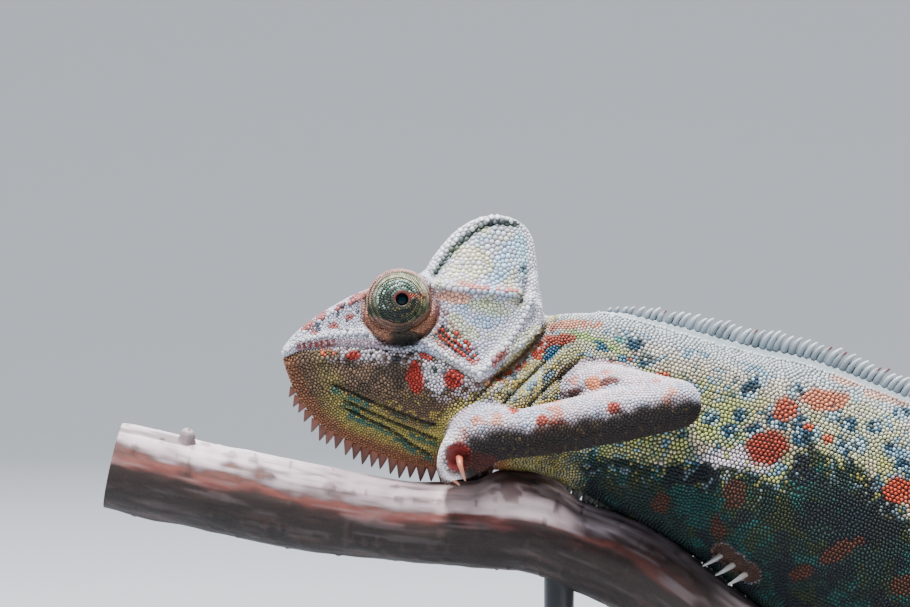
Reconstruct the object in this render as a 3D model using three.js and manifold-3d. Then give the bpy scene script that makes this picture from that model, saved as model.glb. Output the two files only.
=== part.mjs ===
// A life-size display model of an adult veiled chameleon walking up a short cut branch, on a plain stand.
// Millimetres, +Z up. The animal faces -X. The origin is the middle of the base's underside.
import * as THREE from 'three';
import { mergeVertices } from 'three/addons/utils/BufferGeometryUtils.js';
import Module from 'manifold-3d';

const wasm = await Module();
wasm.setup();

// ---------- driving dimensions ----------

const GAP = 0.3; // clearance between solids that touch
const SNOUT = { x: -99.6, z: 150 }; // tip of the snout
const HEAD_LENGTH = 52.6; // snout tip to the rear edge of the casque
const EYE = { back: 23.8, up: 9.6, side: 6.9, radius: 6.5 }; // eye turret, from the snout tip
const TURRET_STRETCH = 1.06; // how far the turret is drawn out towards the pupil
const PUPIL = { radius: 1.75, pit: 1.1 }; // the opening in the lids
const JAW_REAR = 43.5; // distance behind the snout where the throat ends and the neck starts
const NECK_REAR_X = -42; // where the neck ends and the trunk starts
const TAIL_ROOT = { x: 76, z: 99.4 }; // middle of the tail where it leaves the trunk
const TAIL_RADII = { root: 7.3, tip: 0.8 };
const COIL = { x: 112, z: 56, radius: 18, turns: 1.75, pitch: 8.7 }; // the tail's flat spiral
const TAIL_CUTS = [0, 0.19, 0.36, 0.54, 0.74, 1]; // shares of the tail's length where it is parted
const PERCH_RADIUS = 8.5;
const TOE_RADIUS = 1.6;
const BASE = { length: 196, width: 92, height: 10, corner: 12 };
const ROD_RADIUS = 3;
const ROD_X = [-44, 52];

// ---------- colours of the materials ----------

const PALE_SKIN = { color: 0xc9cbd6, roughness: 0.62, metalness: 0 };
const FLANK_SKIN = { color: 0xa9b08c, roughness: 0.6, metalness: 0 };
const THROAT_SKIN = { color: 0x8a8a55, roughness: 0.62, metalness: 0 };
const TURRET_SKIN = { color: 0x5f7a5c, roughness: 0.5, metalness: 0 };
const EYEBALL = { color: 0x0b0d12, roughness: 0.08, metalness: 0 };
const CLAW = { color: 0xb9b3ae, roughness: 0.35, metalness: 0 };
const BARK = { color: 0x8f6f6c, roughness: 0.8, metalness: 0 };
const STEEL = { color: 0x9a9da1, roughness: 0.35, metalness: 1 };
const BASE_LACQUER = { color: 0x2c2b2a, roughness: 0.45, metalness: 0 };

// ---------- shared makers ----------

const point = (x, y, z) => new THREE.Vector3(x, y, z);

// A smooth value through [place, value] stations, as a cubic Hermite curve.
function through(stations) {
  const last = stations.length - 1;
  const slopes = stations.map((_, i) => {
    const before = stations[Math.max(i - 1, 0)];
    const after = stations[Math.min(i + 1, last)];
    return (after[1] - before[1]) / (after[0] - before[0]);
  });
  return (place) => {
    const p = THREE.MathUtils.clamp(place, stations[0][0], stations[last][0]);
    let i = 0;
    while (i < last - 1 && p > stations[i + 1][0]) i++;
    const span = stations[i + 1][0] - stations[i][0];
    const s = (p - stations[i][0]) / span;
    const a = stations[i][1];
    const b = stations[i + 1][1];
    const rise = s * s * (3 - 2 * s);
    return a + (b - a) * rise + span * s * (1 - s) * (slopes[i] * (1 - s) - slopes[i + 1] * s);
  };
}

// A closed solid from a three.js geometry.
function solidOf(geometry) {
  const bare = geometry.clone();
  bare.deleteAttribute('normal');
  bare.deleteAttribute('uv');
  const merged = mergeVertices(bare, 1e-4);
  const build = (flip) => {
    const triVerts = new Uint32Array(merged.index.array);
    for (let i = 0; flip && i < triVerts.length; i += 3)
      [triVerts[i + 1], triVerts[i + 2]] = [triVerts[i + 2], triVerts[i + 1]];
    const vertProperties = merged.attributes.position.array;
    return new wasm.Manifold(new wasm.Mesh({ numProp: 3, vertProperties, triVerts }));
  };
  const made = build(false);
  return made.volume() < 0 ? build(true) : made;
}

// A closed skin over rings of points. Each end runs to a tip: the one given, or its ring's middle.
function skin(rings, startTip, endTip) {
  const count = rings[0].length;
  const points = rings.flat();
  const faces = [];
  const middle = (ring) => ring.reduce((sum, p) => sum.add(p), point(0, 0, 0)).divideScalar(count);
  for (let i = 0; i + 1 < rings.length; i++)
    for (let j = 0; j < count; j++) {
      const a = i * count + j;
      const b = i * count + ((j + 1) % count);
      faces.push(a, b, b + count, a, b + count, a + count);
    }
  const startMiddle = points.push(startTip ?? middle(rings[0])) - 1;
  const endMiddle = points.push(endTip ?? middle(rings.at(-1))) - 1;
  const lastRing = (rings.length - 1) * count;
  for (let j = 0; j < count; j++) {
    const next = (j + 1) % count;
    faces.push(startMiddle, next, j, endMiddle, lastRing + j, lastRing + next);
  }
  const geometry = new THREE.BufferGeometry().setFromPoints(points);
  geometry.setIndex(faces);
  return solidOf(geometry);
}

const CAP = { ahead: 0.75, width: 0.62 }; // the ring that rounds a tube's end, in shares of its radius

// A tube along a curve, with round ends or plain pointed ones. radius(t) gives its half-thickness.
function tube(curve, radius, { sides = 8, steps = 6, grow = 0, round = true } = {}) {
  const rings = [];
  const reach = (t) => radius(t) + grow;
  const ring = (t, ahead, share) => {
    const along = curve.getTangentAt(t);
    const side = point(-along.y, along.x, 0);
    if (side.lengthSq() < 1e-4) side.set(0, 1, 0);
    side.normalize();
    const up = side.clone().cross(along).normalize();
    const centre = curve.getPointAt(t).addScaledVector(along, ahead);
    const size = reach(t) * share;
    return Array.from({ length: sides }, (_, j) => {
      const angle = ((j + 0.5) / sides) * 2 * Math.PI;
      return centre
        .clone()
        .addScaledVector(side, Math.cos(angle) * size)
        .addScaledVector(up, Math.sin(angle) * size);
    });
  };
  if (round) rings.push(ring(0, -CAP.ahead * reach(0), CAP.width));
  for (let i = 0; i <= steps; i++) rings.push(ring(i / steps, 0, 1));
  if (round) rings.push(ring(1, CAP.ahead * reach(1), CAP.width));
  const tip = (t, sign) => curve.getPointAt(t).addScaledVector(curve.getTangentAt(t), sign * reach(t));
  return skin(rings, tip(0, -1), tip(1, 1));
}

// Shares from 0 to 1, closer together at both ends.
const eased = (levels) =>
  Array.from({ length: levels + 1 }, (_, k) => (1 - Math.cos((k / levels) * Math.PI)) / 2);

// A form between an upper and a lower line in the middle plane, with half-widths to both sides.
// levelsAt gives the shares of the height that get a pair of points, for a pair of line ends.
function loft(upper, lower, halfWidth, { steps, levelsAt, grow = 0 }) {
  const rings = [];
  for (let i = 0; i <= steps; i++) {
    const t = i / steps;
    const top = upper.getPointAt(t);
    const bottom = lower.getPointAt(t);
    const side = levelsAt(top, bottom).map((v) => {
      const at = bottom.clone().lerp(top, v);
      return [at, halfWidth(at, v, top, bottom)];
    });
    const near = side.map(([at, w]) => point(at.x, -w, at.y));
    const far = side.map(([at, w]) => point(at.x, w, at.y)).reverse();
    rings.push([...near, ...far]);
  }
  if (grow) grown(rings, grow);
  return skin(rings);
}

// Moves each ring's points outwards from its middle, and the end rings apart, for a cutting copy.
function grown(rings, by) {
  const middles = rings.map((ring) =>
    ring.reduce((sum, p) => sum.add(p), point(0, 0, 0)).divideScalar(ring.length));
  rings.forEach((ring, i) => {
    for (const p of ring) p.add(p.clone().sub(middles[i]).setLength(by));
  });
  const apart = (end, inner) => {
    const away = middles[end].clone().sub(middles[inner]).setLength(by);
    for (const p of rings[end]) p.add(away);
  };
  apart(0, 1);
  apart(rings.length - 1, rings.length - 2);
}

// Everything on the side of a plane that its normal points to, as a big box.
function halfSpace(at, normal) {
  const size = 400;
  const box = new THREE.BoxGeometry(size, size, size).translate(0, 0, size / 2);
  const turn = new THREE.Quaternion().setFromUnitVectors(point(0, 0, 1), normal.clone().normalize());
  box.applyQuaternion(turn).translate(at.x, at.y, at.z);
  return solidOf(box);
}

// A serrated crest: a thin blade in the middle plane whose teeth stand on a line.
// line(s) gives a foot and the tooth's direction for s from 0 to 1; height(s) the tooth's length.
function crest(line, height, { teeth, root, thick, valley }) {
  const place = (s, up) => {
    const { foot, out } = line(s);
    return foot.clone().addScaledVector(out, up);
  };
  const edge = [];
  for (let i = 0; i < teeth; i++) {
    edge.push(place(i / teeth, height(i / teeth) * valley));
    edge.push(place((i + 0.5) / teeth, height((i + 0.5) / teeth)));
  }
  edge.push(place(1, height(1) * valley));
  const ROOT_POINTS = 14;
  for (let i = ROOT_POINTS; i >= 0; i--) edge.push(place(i / ROOT_POINTS, -root));
  const blade = new THREE.ExtrudeGeometry(new THREE.Shape(edge), { depth: thick, bevelEnabled: false });
  blade.rotateX(Math.PI / 2).translate(0, thick / 2, 0);
  return solidOf(blade);
}

const nodes = [];

// Adds a solid to the model as a named mesh. Specks that a cut leaves are dropped.
function addNode(name, solid, finish) {
  const bodies = solid.decompose().sort((a, b) => b.volume() - a.volume());
  const { vertProperties, triVerts, numProp } = bodies[0].getMesh();
  const places = new Float32Array((vertProperties.length / numProp) * 3);
  for (let i = 0; i < places.length / 3; i++)
    places.set(vertProperties.subarray(i * numProp, i * numProp + 3), i * 3);
  const geometry = new THREE.BufferGeometry();
  geometry.setAttribute('position', new THREE.BufferAttribute(places, 3));
  geometry.setIndex(new THREE.BufferAttribute(triVerts, 1));
  geometry.computeVertexNormals();
  const mesh = new THREE.Mesh(geometry, new THREE.MeshStandardMaterial(finish));
  mesh.name = name;
  nodes.push(mesh);
}

const cutBy = (solid, ...cutters) => cutters.reduce((left, cutter) => left.subtract(cutter), solid);

// ---------- head: skull with its tall casque ----------

// Points of the head are [distance behind the snout tip, height above it].
const headLine = (places) =>
  new THREE.SplineCurve(places.map(([back, up]) => new THREE.Vector2(SNOUT.x + back, SNOUT.z + up)));

const CROWN_LINE = [[0, 0.4], [3.4, 4.3], [9.6, 8.6], [16.6, 12.2], [23.6, 14], [28.4, 15.9], [30.4, 19],
  [35.6, 24.5], [41.6, 27], [47.2, 26.2], [50.4, 22.8], [51.4, 17], [52, 11], [HEAD_LENGTH, 6.2]];
const MOUTH_LINE = [[0.2, -1.5], [3.6, -0.1], [11.8, 0.7], [22.6, 0.3], [28, 0], [33, -2.3], [38, -5.4]];
const FLAP_EDGE = [[41.4, -3.4], [45.4, -1.4], [49.6, 1.2], [52, 4.6]];
const THROAT_LINE = [[0.4, -2.6], [2, -7], [4.4, -11.2], [8, -15.2], [13, -18.2], [20, -21.2], [27, -23.4],
  [34, -23.4], [JAW_REAR, -22.8]];

const lipHalfWidth = through([[0, 1.7], [2, 3.5], [5, 4.8], [11, 6.3], [18, 8.1], [25, 9.8], [32, 11.1],
  [38, 11.6], [44, 10.6], [50, 8.8], [HEAD_LENGTH, 7.4]]);
const browHalfWidth = through([[0, 1.5], [3, 3], [10, 4.7], [17, 6.2], [24, 6.6], [30, 8.2], [38, 8.8],
  [46, 7.6], [HEAD_LENGTH, 5.4]]);
const browHeight = through([[0, -0.2], [3, 3], [10, 7.8], [17, 11.2], [24, 13], [30, 13.6], [38, 12.6],
  [46, 11.2], [HEAD_LENGTH, 9]]);
const CREST_HALF_WIDTH = 1.15;
const CHEEK_HOLLOW = { depth: 0.9, starts: 8, full: 20 }; // how the cheek dips, by distance from the snout
const CASQUE_HOLLOW = 0.7; // below 1 the casque's sides are hollow

// Lips to brow is a slightly hollow cheek, and brow to crown a hollow slope up to the thin crest.
function headHalfWidth(at, v, top, bottom) {
  const back = at.x - SNOUT.x;
  const brow = Math.min(SNOUT.z + browHeight(back), top.y - 0.4);
  if (at.y < brow) {
    const share = THREE.MathUtils.clamp((at.y - bottom.y) / (brow - bottom.y), 0, 1);
    const dip = THREE.MathUtils.smoothstep(back, CHEEK_HOLLOW.starts, CHEEK_HOLLOW.full);
    const hollow = CHEEK_HOLLOW.depth * Math.sin(Math.PI * share) * dip;
    return THREE.MathUtils.lerp(lipHalfWidth(back), browHalfWidth(back), share) - hollow;
  }
  const share = THREE.MathUtils.clamp((at.y - brow) / Math.max(top.y - brow, 0.4), 0, 1);
  return THREE.MathUtils.lerp(browHalfWidth(back), CREST_HALF_WIDTH, share ** CASQUE_HOLLOW);
}

// Points from lips to brow and from brow to crown, so that the brow ridge is an edge.
function headLevels(top, bottom) {
  const browAt = (v) => {
    const at = bottom.clone().lerp(top, v);
    return at.y - Math.min(SNOUT.z + browHeight(at.x - SNOUT.x), top.y - 0.4);
  };
  let low = 0;
  let high = 1;
  for (let i = 0; i < 20; i++) {
    const middle = (low + high) / 2;
    if (browAt(middle) < 0) low = middle;
    else high = middle;
  }
  const cheek = [0, 0.15, 0.5, 1].map((v) => v * low);
  const slope = [0.25, 0.65, 1].map((v) => low + v * (1 - low));
  return [...cheek, ...slope];
}

const lifted = (places, up) => places.map(([back, height]) => [back, height + up]);

const makeSkull = (grow) =>
  loft(headLine(CROWN_LINE), headLine([...lifted(MOUTH_LINE, GAP / 2), ...FLAP_EDGE]), headHalfWidth,
    { steps: 20, levelsAt: headLevels, grow });

// ---------- eyes: cone-shaped turrets with a small opening for the pupil ----------

const eyeCentre = (side) => point(SNOUT.x + EYE.back, side * EYE.side, SNOUT.z + EYE.up);

// A lathe profile turned so that its axis points to one side and a little backwards and up.
function turned(profile, side, segments) {
  const lathe = new THREE.LatheGeometry(profile.map(([r, h]) => new THREE.Vector2(r, h)), segments);
  const gaze = point(0.09, side, 0.08).normalize();
  lathe.applyQuaternion(new THREE.Quaternion().setFromUnitVectors(point(0, 1, 0), gaze));
  const centre = eyeCentre(side);
  return solidOf(lathe.translate(centre.x, centre.y, centre.z));
}

// The ball of fused lids: a sphere, drawn out a little towards the pupil, with a pit at its pole.
function makeTurret(side, grow) {
  const radius = EYE.radius + grow;
  const profile = [[0, -radius]];
  const RINGS = 7;
  const pitAngle = Math.asin((PUPIL.radius + GAP) / radius);
  for (let i = 1; i <= RINGS; i++) {
    const angle = Math.PI - (i / RINGS) * (Math.PI - pitAngle);
    const stretch = Math.cos(angle) > 0 ? TURRET_STRETCH : 1;
    profile.push([radius * Math.sin(angle), radius * stretch * Math.cos(angle)]);
  }
  const rim = profile.at(-1)[1];
  if (!grow) profile.push([PUPIL.radius, rim - PUPIL.pit]);
  profile.push([0, grow ? rim : rim - PUPIL.pit]);
  return turned(profile, side, 14);
}

// The part of the eyeball that shows in the pit.
function makeEyeball(side) {
  const rim = EYE.radius * TURRET_STRETCH * Math.cos(Math.asin((PUPIL.radius + GAP) / EYE.radius));
  const floor = rim - PUPIL.pit + GAP;
  const radius = PUPIL.radius - GAP;
  return turned([[0, floor], [radius, floor], [radius, floor + 0.35], [radius * 0.6, floor + 0.75],
    [0, floor + 0.9]], side, 8);
}

// ---------- lower jaw and throat, with the row of spines under the chin ----------

const THROAT_KEEL = { halfWidth: 0.9, fullness: 2.3 };

function throatHalfWidth(at, v) {
  const lip = lipHalfWidth(at.x - SNOUT.x) - 0.15;
  return THROAT_KEEL.halfWidth + (lip - THROAT_KEEL.halfWidth) * (1 - (1 - v) ** THROAT_KEEL.fullness);
}

const throatTop = [...lifted(MOUTH_LINE, -GAP / 2), [JAW_REAR, -3.6]];
const makeThroat = (grow) =>
  loft(headLine(throatTop), headLine(THROAT_LINE), throatHalfWidth,
    { steps: 12, levelsAt: () => eased(5), grow });

const throatCurve = headLine(THROAT_LINE);
const throatTeeth = (s) => {
  const t = 0.09 + 0.9 * s;
  const foot = throatCurve.getPointAt(t);
  const along = throatCurve.getTangentAt(t);
  const out = new THREE.Vector2(along.y, -along.x).rotateAround(new THREE.Vector2(), 0.25);
  return { foot, out: out.normalize() };
};
const spineLength = through([[0, 1.1], [0.25, 2.1], [0.5, 2.7], [0.8, 2.6], [1, 2.2]]);

// ---------- neck and trunk, with the comb of the back ----------

const bodyLine = (places) => new THREE.SplineCurve(places.map(([x, z]) => new THREE.Vector2(x, z)));

const BACK_LINE = [[-58, 154], [-44, 157.2], [-33.6, 157], [-25.8, 155], [-6.8, 149.6], [7.2, 146.4],
  [25.8, 139.2], [36, 135], [46, 130], [57, 123.6], [68, 115.8], [80.4, 105.6]];
const BELLY_LINE = [[-58, 126], [-48, 125], [-38, 120.6], [-27.2, 114.6], [-15, 107.4], [-4, 98.6],
  [6, 91.2], [17, 86.2], [30, 83], [44, 82.8], [54, 84.8], [64, 88.8], [73, 92.8]];

const bodyHalfWidth = through([[-58, 9.6], [-50, 8.9], [-42, 8.9], [-33, 9.8], [-20, 11.4], [-6, 12.6],
  [10, 13.4], [26, 12.8], [42, 11.2], [56, 9.4], [66, 7.9], [80, 6.6]]);

const TRUNK = { skew: 0.82, flatness: 0.66, edge: 0.5 };

// Flat-sided, fullest below the middle, with a sharp back and a narrow rounded belly.
function trunkHalfWidth(at, v) {
  const skew = v ** TRUNK.skew;
  return TRUNK.edge + (bodyHalfWidth(at.x) - TRUNK.edge) * (4 * skew * (1 - skew)) ** TRUNK.flatness;
}

const makeBody = () =>
  loft(bodyLine(BACK_LINE), bodyLine(BELLY_LINE), trunkHalfWidth, { steps: 16, levelsAt: () => eased(7) });

const backCurve = bodyLine(BACK_LINE);
const CREST_START = 0.155;
const combTeeth = (s) => {
  const t = CREST_START + (0.985 - CREST_START) * s;
  const along = backCurve.getTangentAt(t);
  const out = new THREE.Vector2(-along.y, along.x).rotateAround(new THREE.Vector2(), -0.2);
  return { foot: backCurve.getPointAt(t), out };
};
const combHeight = through([[0, 1], [0.04, 2.4], [0.08, 3.8], [0.13, 4.8], [0.25, 5.6], [0.45, 5.5],
  [0.7, 4.2], [0.9, 2.6], [1, 2]]);

// ---------- tail: down behind the hips into a flat coil ----------

// The run down from the trunk, as [x, z] from the tail's root. It starts inside the trunk.
const TAIL_RUN = [[-8, 5.2], [0, 0], [14, -9.4], [29, -18]];

// The run, then the coil's spiral of points.
function tailCurve() {
  const places = TAIL_RUN.map(([x, z]) => point(TAIL_ROOT.x + x, 0, TAIL_ROOT.z + z));
  const entry = Math.PI / 4;
  const STEPS = 24;
  for (let i = 0; i <= STEPS; i++) {
    const turn = (i / STEPS) * COIL.turns * 2 * Math.PI;
    const radius = COIL.radius - (COIL.pitch * turn) / (2 * Math.PI);
    places.push(point(COIL.x + radius * Math.cos(entry - turn), 2.5 * Math.sin(turn / 3),
      COIL.z + radius * Math.sin(entry - turn)));
  }
  return new THREE.CatmullRomCurve3(places, false, 'centripetal');
}

// The stretch of a curve between two shares of its length.
class Stretch extends THREE.Curve {
  constructor(whole, from, to) {
    super();
    Object.assign(this, { whole, from, to });
  }
  getPoint(t) {
    return this.whole.getPointAt(this.from + (this.to - this.from) * t);
  }
}

const tailRadius = (share) =>
  TAIL_RADII.tip + (TAIL_RADII.root - TAIL_RADII.tip) * (1 - share) ** 1.15;

// One length of the tail with flat ends, from one cut to the next.
function tailLength(whole, from, to, sides) {
  const span = whole.getLength();
  const last = to >= 1;
  const stretch = new Stretch(whole, from + GAP / 2 / span, last ? 1 : to - GAP / 2 / span);
  const steps = Math.max(4, Math.round(((to - from) * span) / 5));
  const rings = [];
  for (let i = 0; i <= steps; i++) {
    const t = i / steps;
    const along = stretch.getTangent(t);
    const side = point(0, 1, 0).addScaledVector(along, -along.y).normalize();
    const up = side.clone().cross(along);
    const size = tailRadius(stretch.from + (stretch.to - stretch.from) * t);
    rings.push(Array.from({ length: sides }, (_, j) => {
      const angle = (j / sides) * 2 * Math.PI;
      return stretch.getPoint(t)
        .addScaledVector(side, Math.cos(angle) * size * 0.88)
        .addScaledVector(up, Math.sin(angle) * size);
    }));
  }
  const tip = last ? stretch.getPoint(1).addScaledVector(stretch.getTangent(1), TAIL_RADII.tip) : undefined;
  return skin(rings, undefined, tip);
}

// ---------- perch: a short cut length of branch ----------

const PERCH_LINE = [[-133, -1, 127], [-116, -1, 123.2], [-96, 0, 119], [-76, 0, 116], [-62, 0, 115],
  [-48, 0, 113.6], [-31, -1, 107.2], [-19, -2, 99.4], [-4, -2, 88.2], [14, 0, 76.8], [34, 1, 67.4],
  [54, 1, 59.4], [77, 0, 51.6]];
const perchCurve = new THREE.CatmullRomCurve3(PERCH_LINE.map((p) => point(...p)), false, 'centripetal');
const perchRadius = (t) => PERCH_RADIUS * (1 + 0.035 * Math.sin(17 * t) + 0.02 * Math.sin(41 * t + 1));

function makePerch(grow) {
  const STEPS = 19;
  const SIDES = 10;
  const rings = [];
  for (let i = 0; i <= STEPS; i++) {
    const t = i / STEPS;
    const { side, up, at } = perchFrame(t);
    const size = perchRadius(t) + grow;
    rings.push(Array.from({ length: SIDES }, (_, j) => {
      const angle = ((j + 0.5) / SIDES) * 2 * Math.PI;
      return at.clone()
        .addScaledVector(side, Math.cos(angle) * size)
        .addScaledVector(up, Math.sin(angle) * size);
    }));
  }
  return skin(rings);
}

// The branch's middle, its direction, the level side direction and the one that points up from it.
function perchFrame(t) {
  const along = perchCurve.getTangentAt(t);
  const side = point(0, 1, 0).addScaledVector(along, -along.y).normalize();
  return { at: perchCurve.getPointAt(t), along, side, up: along.clone().cross(side).normalize() };
}

// The share of the branch's length at a given x.
function perchShareAt(x) {
  let low = 0;
  let high = 1;
  for (let i = 0; i < 30; i++) {
    const middle = (low + high) / 2;
    if (perchCurve.getPointAt(middle).x < x) low = middle;
    else high = middle;
  }
  return (low + high) / 2;
}

// The stub of a twig, near the branch's upper end.
function makeTwigStub() {
  const { at, up, side } = perchFrame(perchShareAt(-120));
  const out = up.clone().addScaledVector(side, -0.35).normalize();
  const along = [6, 10].map((distance) => at.clone().addScaledVector(out, distance));
  return tube(new THREE.LineCurve3(...along), (t) => 1.9 - 0.9 * t, { sides: 6, steps: 2 });
}

// ---------- legs, feet and claws ----------

const degrees = THREE.MathUtils.degToRad;

// A point beside the branch: how far along it from x, the angle round it from straight up in degrees
// (below zero on the -Y side) and the distance out from its middle.
function byPerch(x, ahead, angle, distance) {
  const { at, along, side, up } = perchFrame(perchShareAt(x));
  const turn = degrees(angle);
  return at.clone()
    .addScaledVector(along, ahead)
    .addScaledVector(up, Math.cos(turn) * distance)
    .addScaledVector(side, Math.sin(turn) * distance);
}

const TOE_OUT = PERCH_RADIUS + GAP + TOE_RADIUS;

// Places of a toe and its claw, as [ahead, angle, distance], for toes that close on the branch.
function grip(palm, reach, raise) {
  const share = (s) => palm + (reach - palm) * s;
  const turn = Math.sign(reach - palm);
  return {
    toe: [[0, share(0.12), PERCH_RADIUS + raise * 0.9], [0, share(0.58), TOE_OUT + 0.9], [0, reach, TOE_OUT]],
    claw: [[0, reach + turn * 14, TOE_OUT + 0.2], [0, reach + turn * 24, PERCH_RADIUS + GAP + 0.5]],
    pitch: [2.9, 0],
  };
}

// Each leg: its joints, half-thicknesses, and how its foot holds the branch. A bundle of outer toes and
// one of inner toes close from both sides. pitch is the step from toe to toe: ahead and round the branch.
// hump is how far the back of the hand rises over a straight line, and how much thicker it is there.
const LEGS = [
  { name: 'foreleg_left', foot: 'forefoot_left', root: [-37, -6.5, 141.5], joint: [-21.5, -18, 139.6],
    end: [-54, -13.6, 133.2], thick: [6.2, 5, 5.2, 4.8], x: -63, palm: [-1.4, -38, 18], palmEnd: 5.2,
    hump: [2, 0.9],
    outer: { count: 2, toe: [[-1.4, -38, 17.8], [-5, -37, 16], [-4.2, -38, 12.8]],
      claw: [[-2.9, -38, 10.9], [-1.4, -38, 9.5]], pitch: [0, 11] },
    inner: { count: 3, toe: [[0, -24, 14.4], [0, 12, 11.6], [0, 50, TOE_OUT]],
      claw: [[0, 64, TOE_OUT + 0.2], [0, 74, PERCH_RADIUS + GAP + 0.5]], pitch: [2.9, 0] } },
  { name: 'foreleg_right', foot: 'forefoot_right', root: [-35, 6.8, 139], joint: [-20, 19, 124],
    end: [-8, 13.5, 111], thick: [6, 4.9, 4.8, 4], x: -16.6, palm: [0, 48, 14.6], palmEnd: 3.4,
    outer: { count: 2, ...grip(50, 100, 4) },
    inner: { count: 3, toe: [[0, 38, 13.8], [0, 6, 15], [0, -22, 14]],
      claw: [[-0.8, -28, 12], [-1.8, -32, 9.7]], pitch: [3.1, 0] } },
  { name: 'hindleg_left', foot: 'hindfoot_left', root: [56, -7.2, 99.5], joint: [37, -20.5, 93],
    end: [50, -12.4, 77], thick: [6.6, 5.2, 5, 4.1], x: 50, palm: [0, -22, 12.2], palmEnd: 3.4,
    outer: { count: 3, ...grip(-22, -80, 3.6) },
    inner: { count: 2, ...grip(-14, 62, 3.6) } },
  { name: 'hindleg_right', foot: 'hindfoot_right', root: [55, 7.2, 99.5], joint: [35, 21, 96],
    end: [29, 13.5, 82.5], thick: [6.6, 5.2, 5, 4.1], x: 27, palm: [0, 38, 12.2], palmEnd: 3.4,
    outer: { count: 3, ...grip(40, 92, 3.6) },
    inner: { count: 2, ...grip(30, -44, 3.6) } },
];

// The two long parts of a leg, parted by the plane that halves the angle between them.
function makeLeg(leg, grow) {
  const [root, joint, end] = [leg.root, leg.joint, leg.end].map((p) => point(...p));
  const [a, b, c, d] = leg.thick;
  const swell = (from, to, bulge) => (t) => from + (to - from) * t + bulge * Math.sin(Math.PI * t);
  const upper = tube(new THREE.LineCurve3(root, joint), swell(a, b, 0.3), { steps: 3, grow });
  const lower = tube(new THREE.LineCurve3(joint, end), swell(c, d, 0.5), { steps: 4, grow });
  const toRoot = root.clone().sub(joint).normalize();
  const toEnd = end.clone().sub(joint).normalize();
  const across = toEnd.clone().sub(toRoot).normalize();
  const keep = (solid, sign) =>
    solid.subtract(halfSpace(joint.clone().addScaledVector(across, (sign * GAP) / 2),
      across.clone().multiplyScalar(-sign)));
  return { upper: keep(upper, -1), lower: keep(lower, 1), whole: upper.add(lower), toEnd, end };
}

// A foot: a palm over the branch and two bundles of toes with their claws.
function makeFoot(leg, grow) {
  const [raise, swell] = leg.hump ?? [0, 0];
  const wrist = point(...leg.end);
  const sole = byPerch(leg.x, ...leg.palm);
  const middle = wrist.clone().add(sole).multiplyScalar(0.5).add(point(0, 0, 2 * raise));
  const palmCurve = new THREE.QuadraticBezierCurve3(wrist, middle, sole);
  const palmRadius = (t) =>
    leg.thick[3] + (leg.palmEnd - leg.thick[3]) * t + swell * Math.sin(Math.PI * t);
  const palm = tube(palmCurve, palmRadius, { steps: raise ? 3 : 2, grow });
  const makeBundle = ({ count, toe, claw, pitch }) => {
    const toes = [];
    const claws = [];
    for (let k = 0; k < count; k++) {
      const step = k - (count - 1) / 2;
      const place = ([ahead, angle, distance], i) => byPerch(leg.x,
        ahead + step * pitch[0] * (i ? 1 : 0.6), angle + step * pitch[1] * (i ? 1 : 0.6), distance);
      const toePoints = toe.map(place);
      const toeCurve = new THREE.CatmullRomCurve3(toePoints);
      toes.push(tube(toeCurve, (t) => TOE_RADIUS + 0.6 * (1 - t), { sides: 5, steps: 2, grow }));
      const clawCurve = new THREE.CatmullRomCurve3([toePoints[2], ...claw.map((c) => place(c, 1))]);
      claws.push(tube(clawCurve, (t) => 0.95 - 0.62 * t, { sides: 4, steps: 2, grow, round: false }));
    }
    return { flesh: toes.reduce((all, one) => all.add(one)), claws };
  };
  return { palm, outer: makeBundle(leg.outer), inner: makeBundle(leg.inner) };
}

// ---------- stand: a flat base and two rods up to the branch ----------

function makeBase() {
  const { length, width, height, corner } = BASE;
  const x = length / 2;
  const y = width / 2;
  const outline = new THREE.Shape();
  outline.moveTo(corner - x, -y);
  outline.absarc(x - corner, corner - y, corner, -Math.PI / 2, 0, false);
  outline.absarc(x - corner, y - corner, corner, 0, Math.PI / 2, false);
  outline.absarc(corner - x, y - corner, corner, Math.PI / 2, Math.PI, false);
  outline.absarc(corner - x, corner - y, corner, Math.PI, 1.5 * Math.PI, false);
  const CHAMFER = 1;
  return solidOf(new THREE.ExtrudeGeometry(outline, { depth: height - CHAMFER, curveSegments: 3,
    bevelThickness: CHAMFER, bevelSize: CHAMFER, bevelOffset: -CHAMFER, bevelSegments: 1 })
    ).subtract(halfSpace(point(0, 0, 0), point(0, 0, -1)));
}

// A rod with a collar at its foot, up to the branch's underside.
function makeRod(x, perchCutter) {
  const { at } = perchFrame(perchShareAt(x));
  const foot = BASE.height + GAP;
  const COLLAR = { radius: 6.5, height: 4 };
  const profile = [[0, foot], [COLLAR.radius, foot], [COLLAR.radius, foot + COLLAR.height - 1],
    [COLLAR.radius - 1, foot + COLLAR.height], [ROD_RADIUS, foot + COLLAR.height], [ROD_RADIUS, at.z],
    [0, at.z]];
  const lathe = new THREE.LatheGeometry(profile.map(([r, h]) => new THREE.Vector2(r, h)), 10);
  return cutBy(solidOf(lathe.rotateX(Math.PI / 2).translate(x, at.y, 0)), perchCutter);
}

// ---------- assembly: each piece is cut back from those it meets ----------

const skullCutter = makeSkull(GAP);
const throatCutter = makeThroat(GAP);
const turretCutters = [-1, 1].map((side) => makeTurret(side, GAP));
const perchCutter = makePerch(GAP);
const legCutters = LEGS.map((leg) => makeLeg(leg, GAP));
const footCutters = LEGS.map((leg) => {
  const { palm, outer, inner } = makeFoot(leg, GAP);
  const parts = [palm, outer.flesh, inner.flesh, ...outer.claws, ...inner.claws];
  const whole = parts.reduce((all, one) => all.add(one));
  return { palm, outer: outer.flesh, inner: inner.flesh, whole };
});

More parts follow.
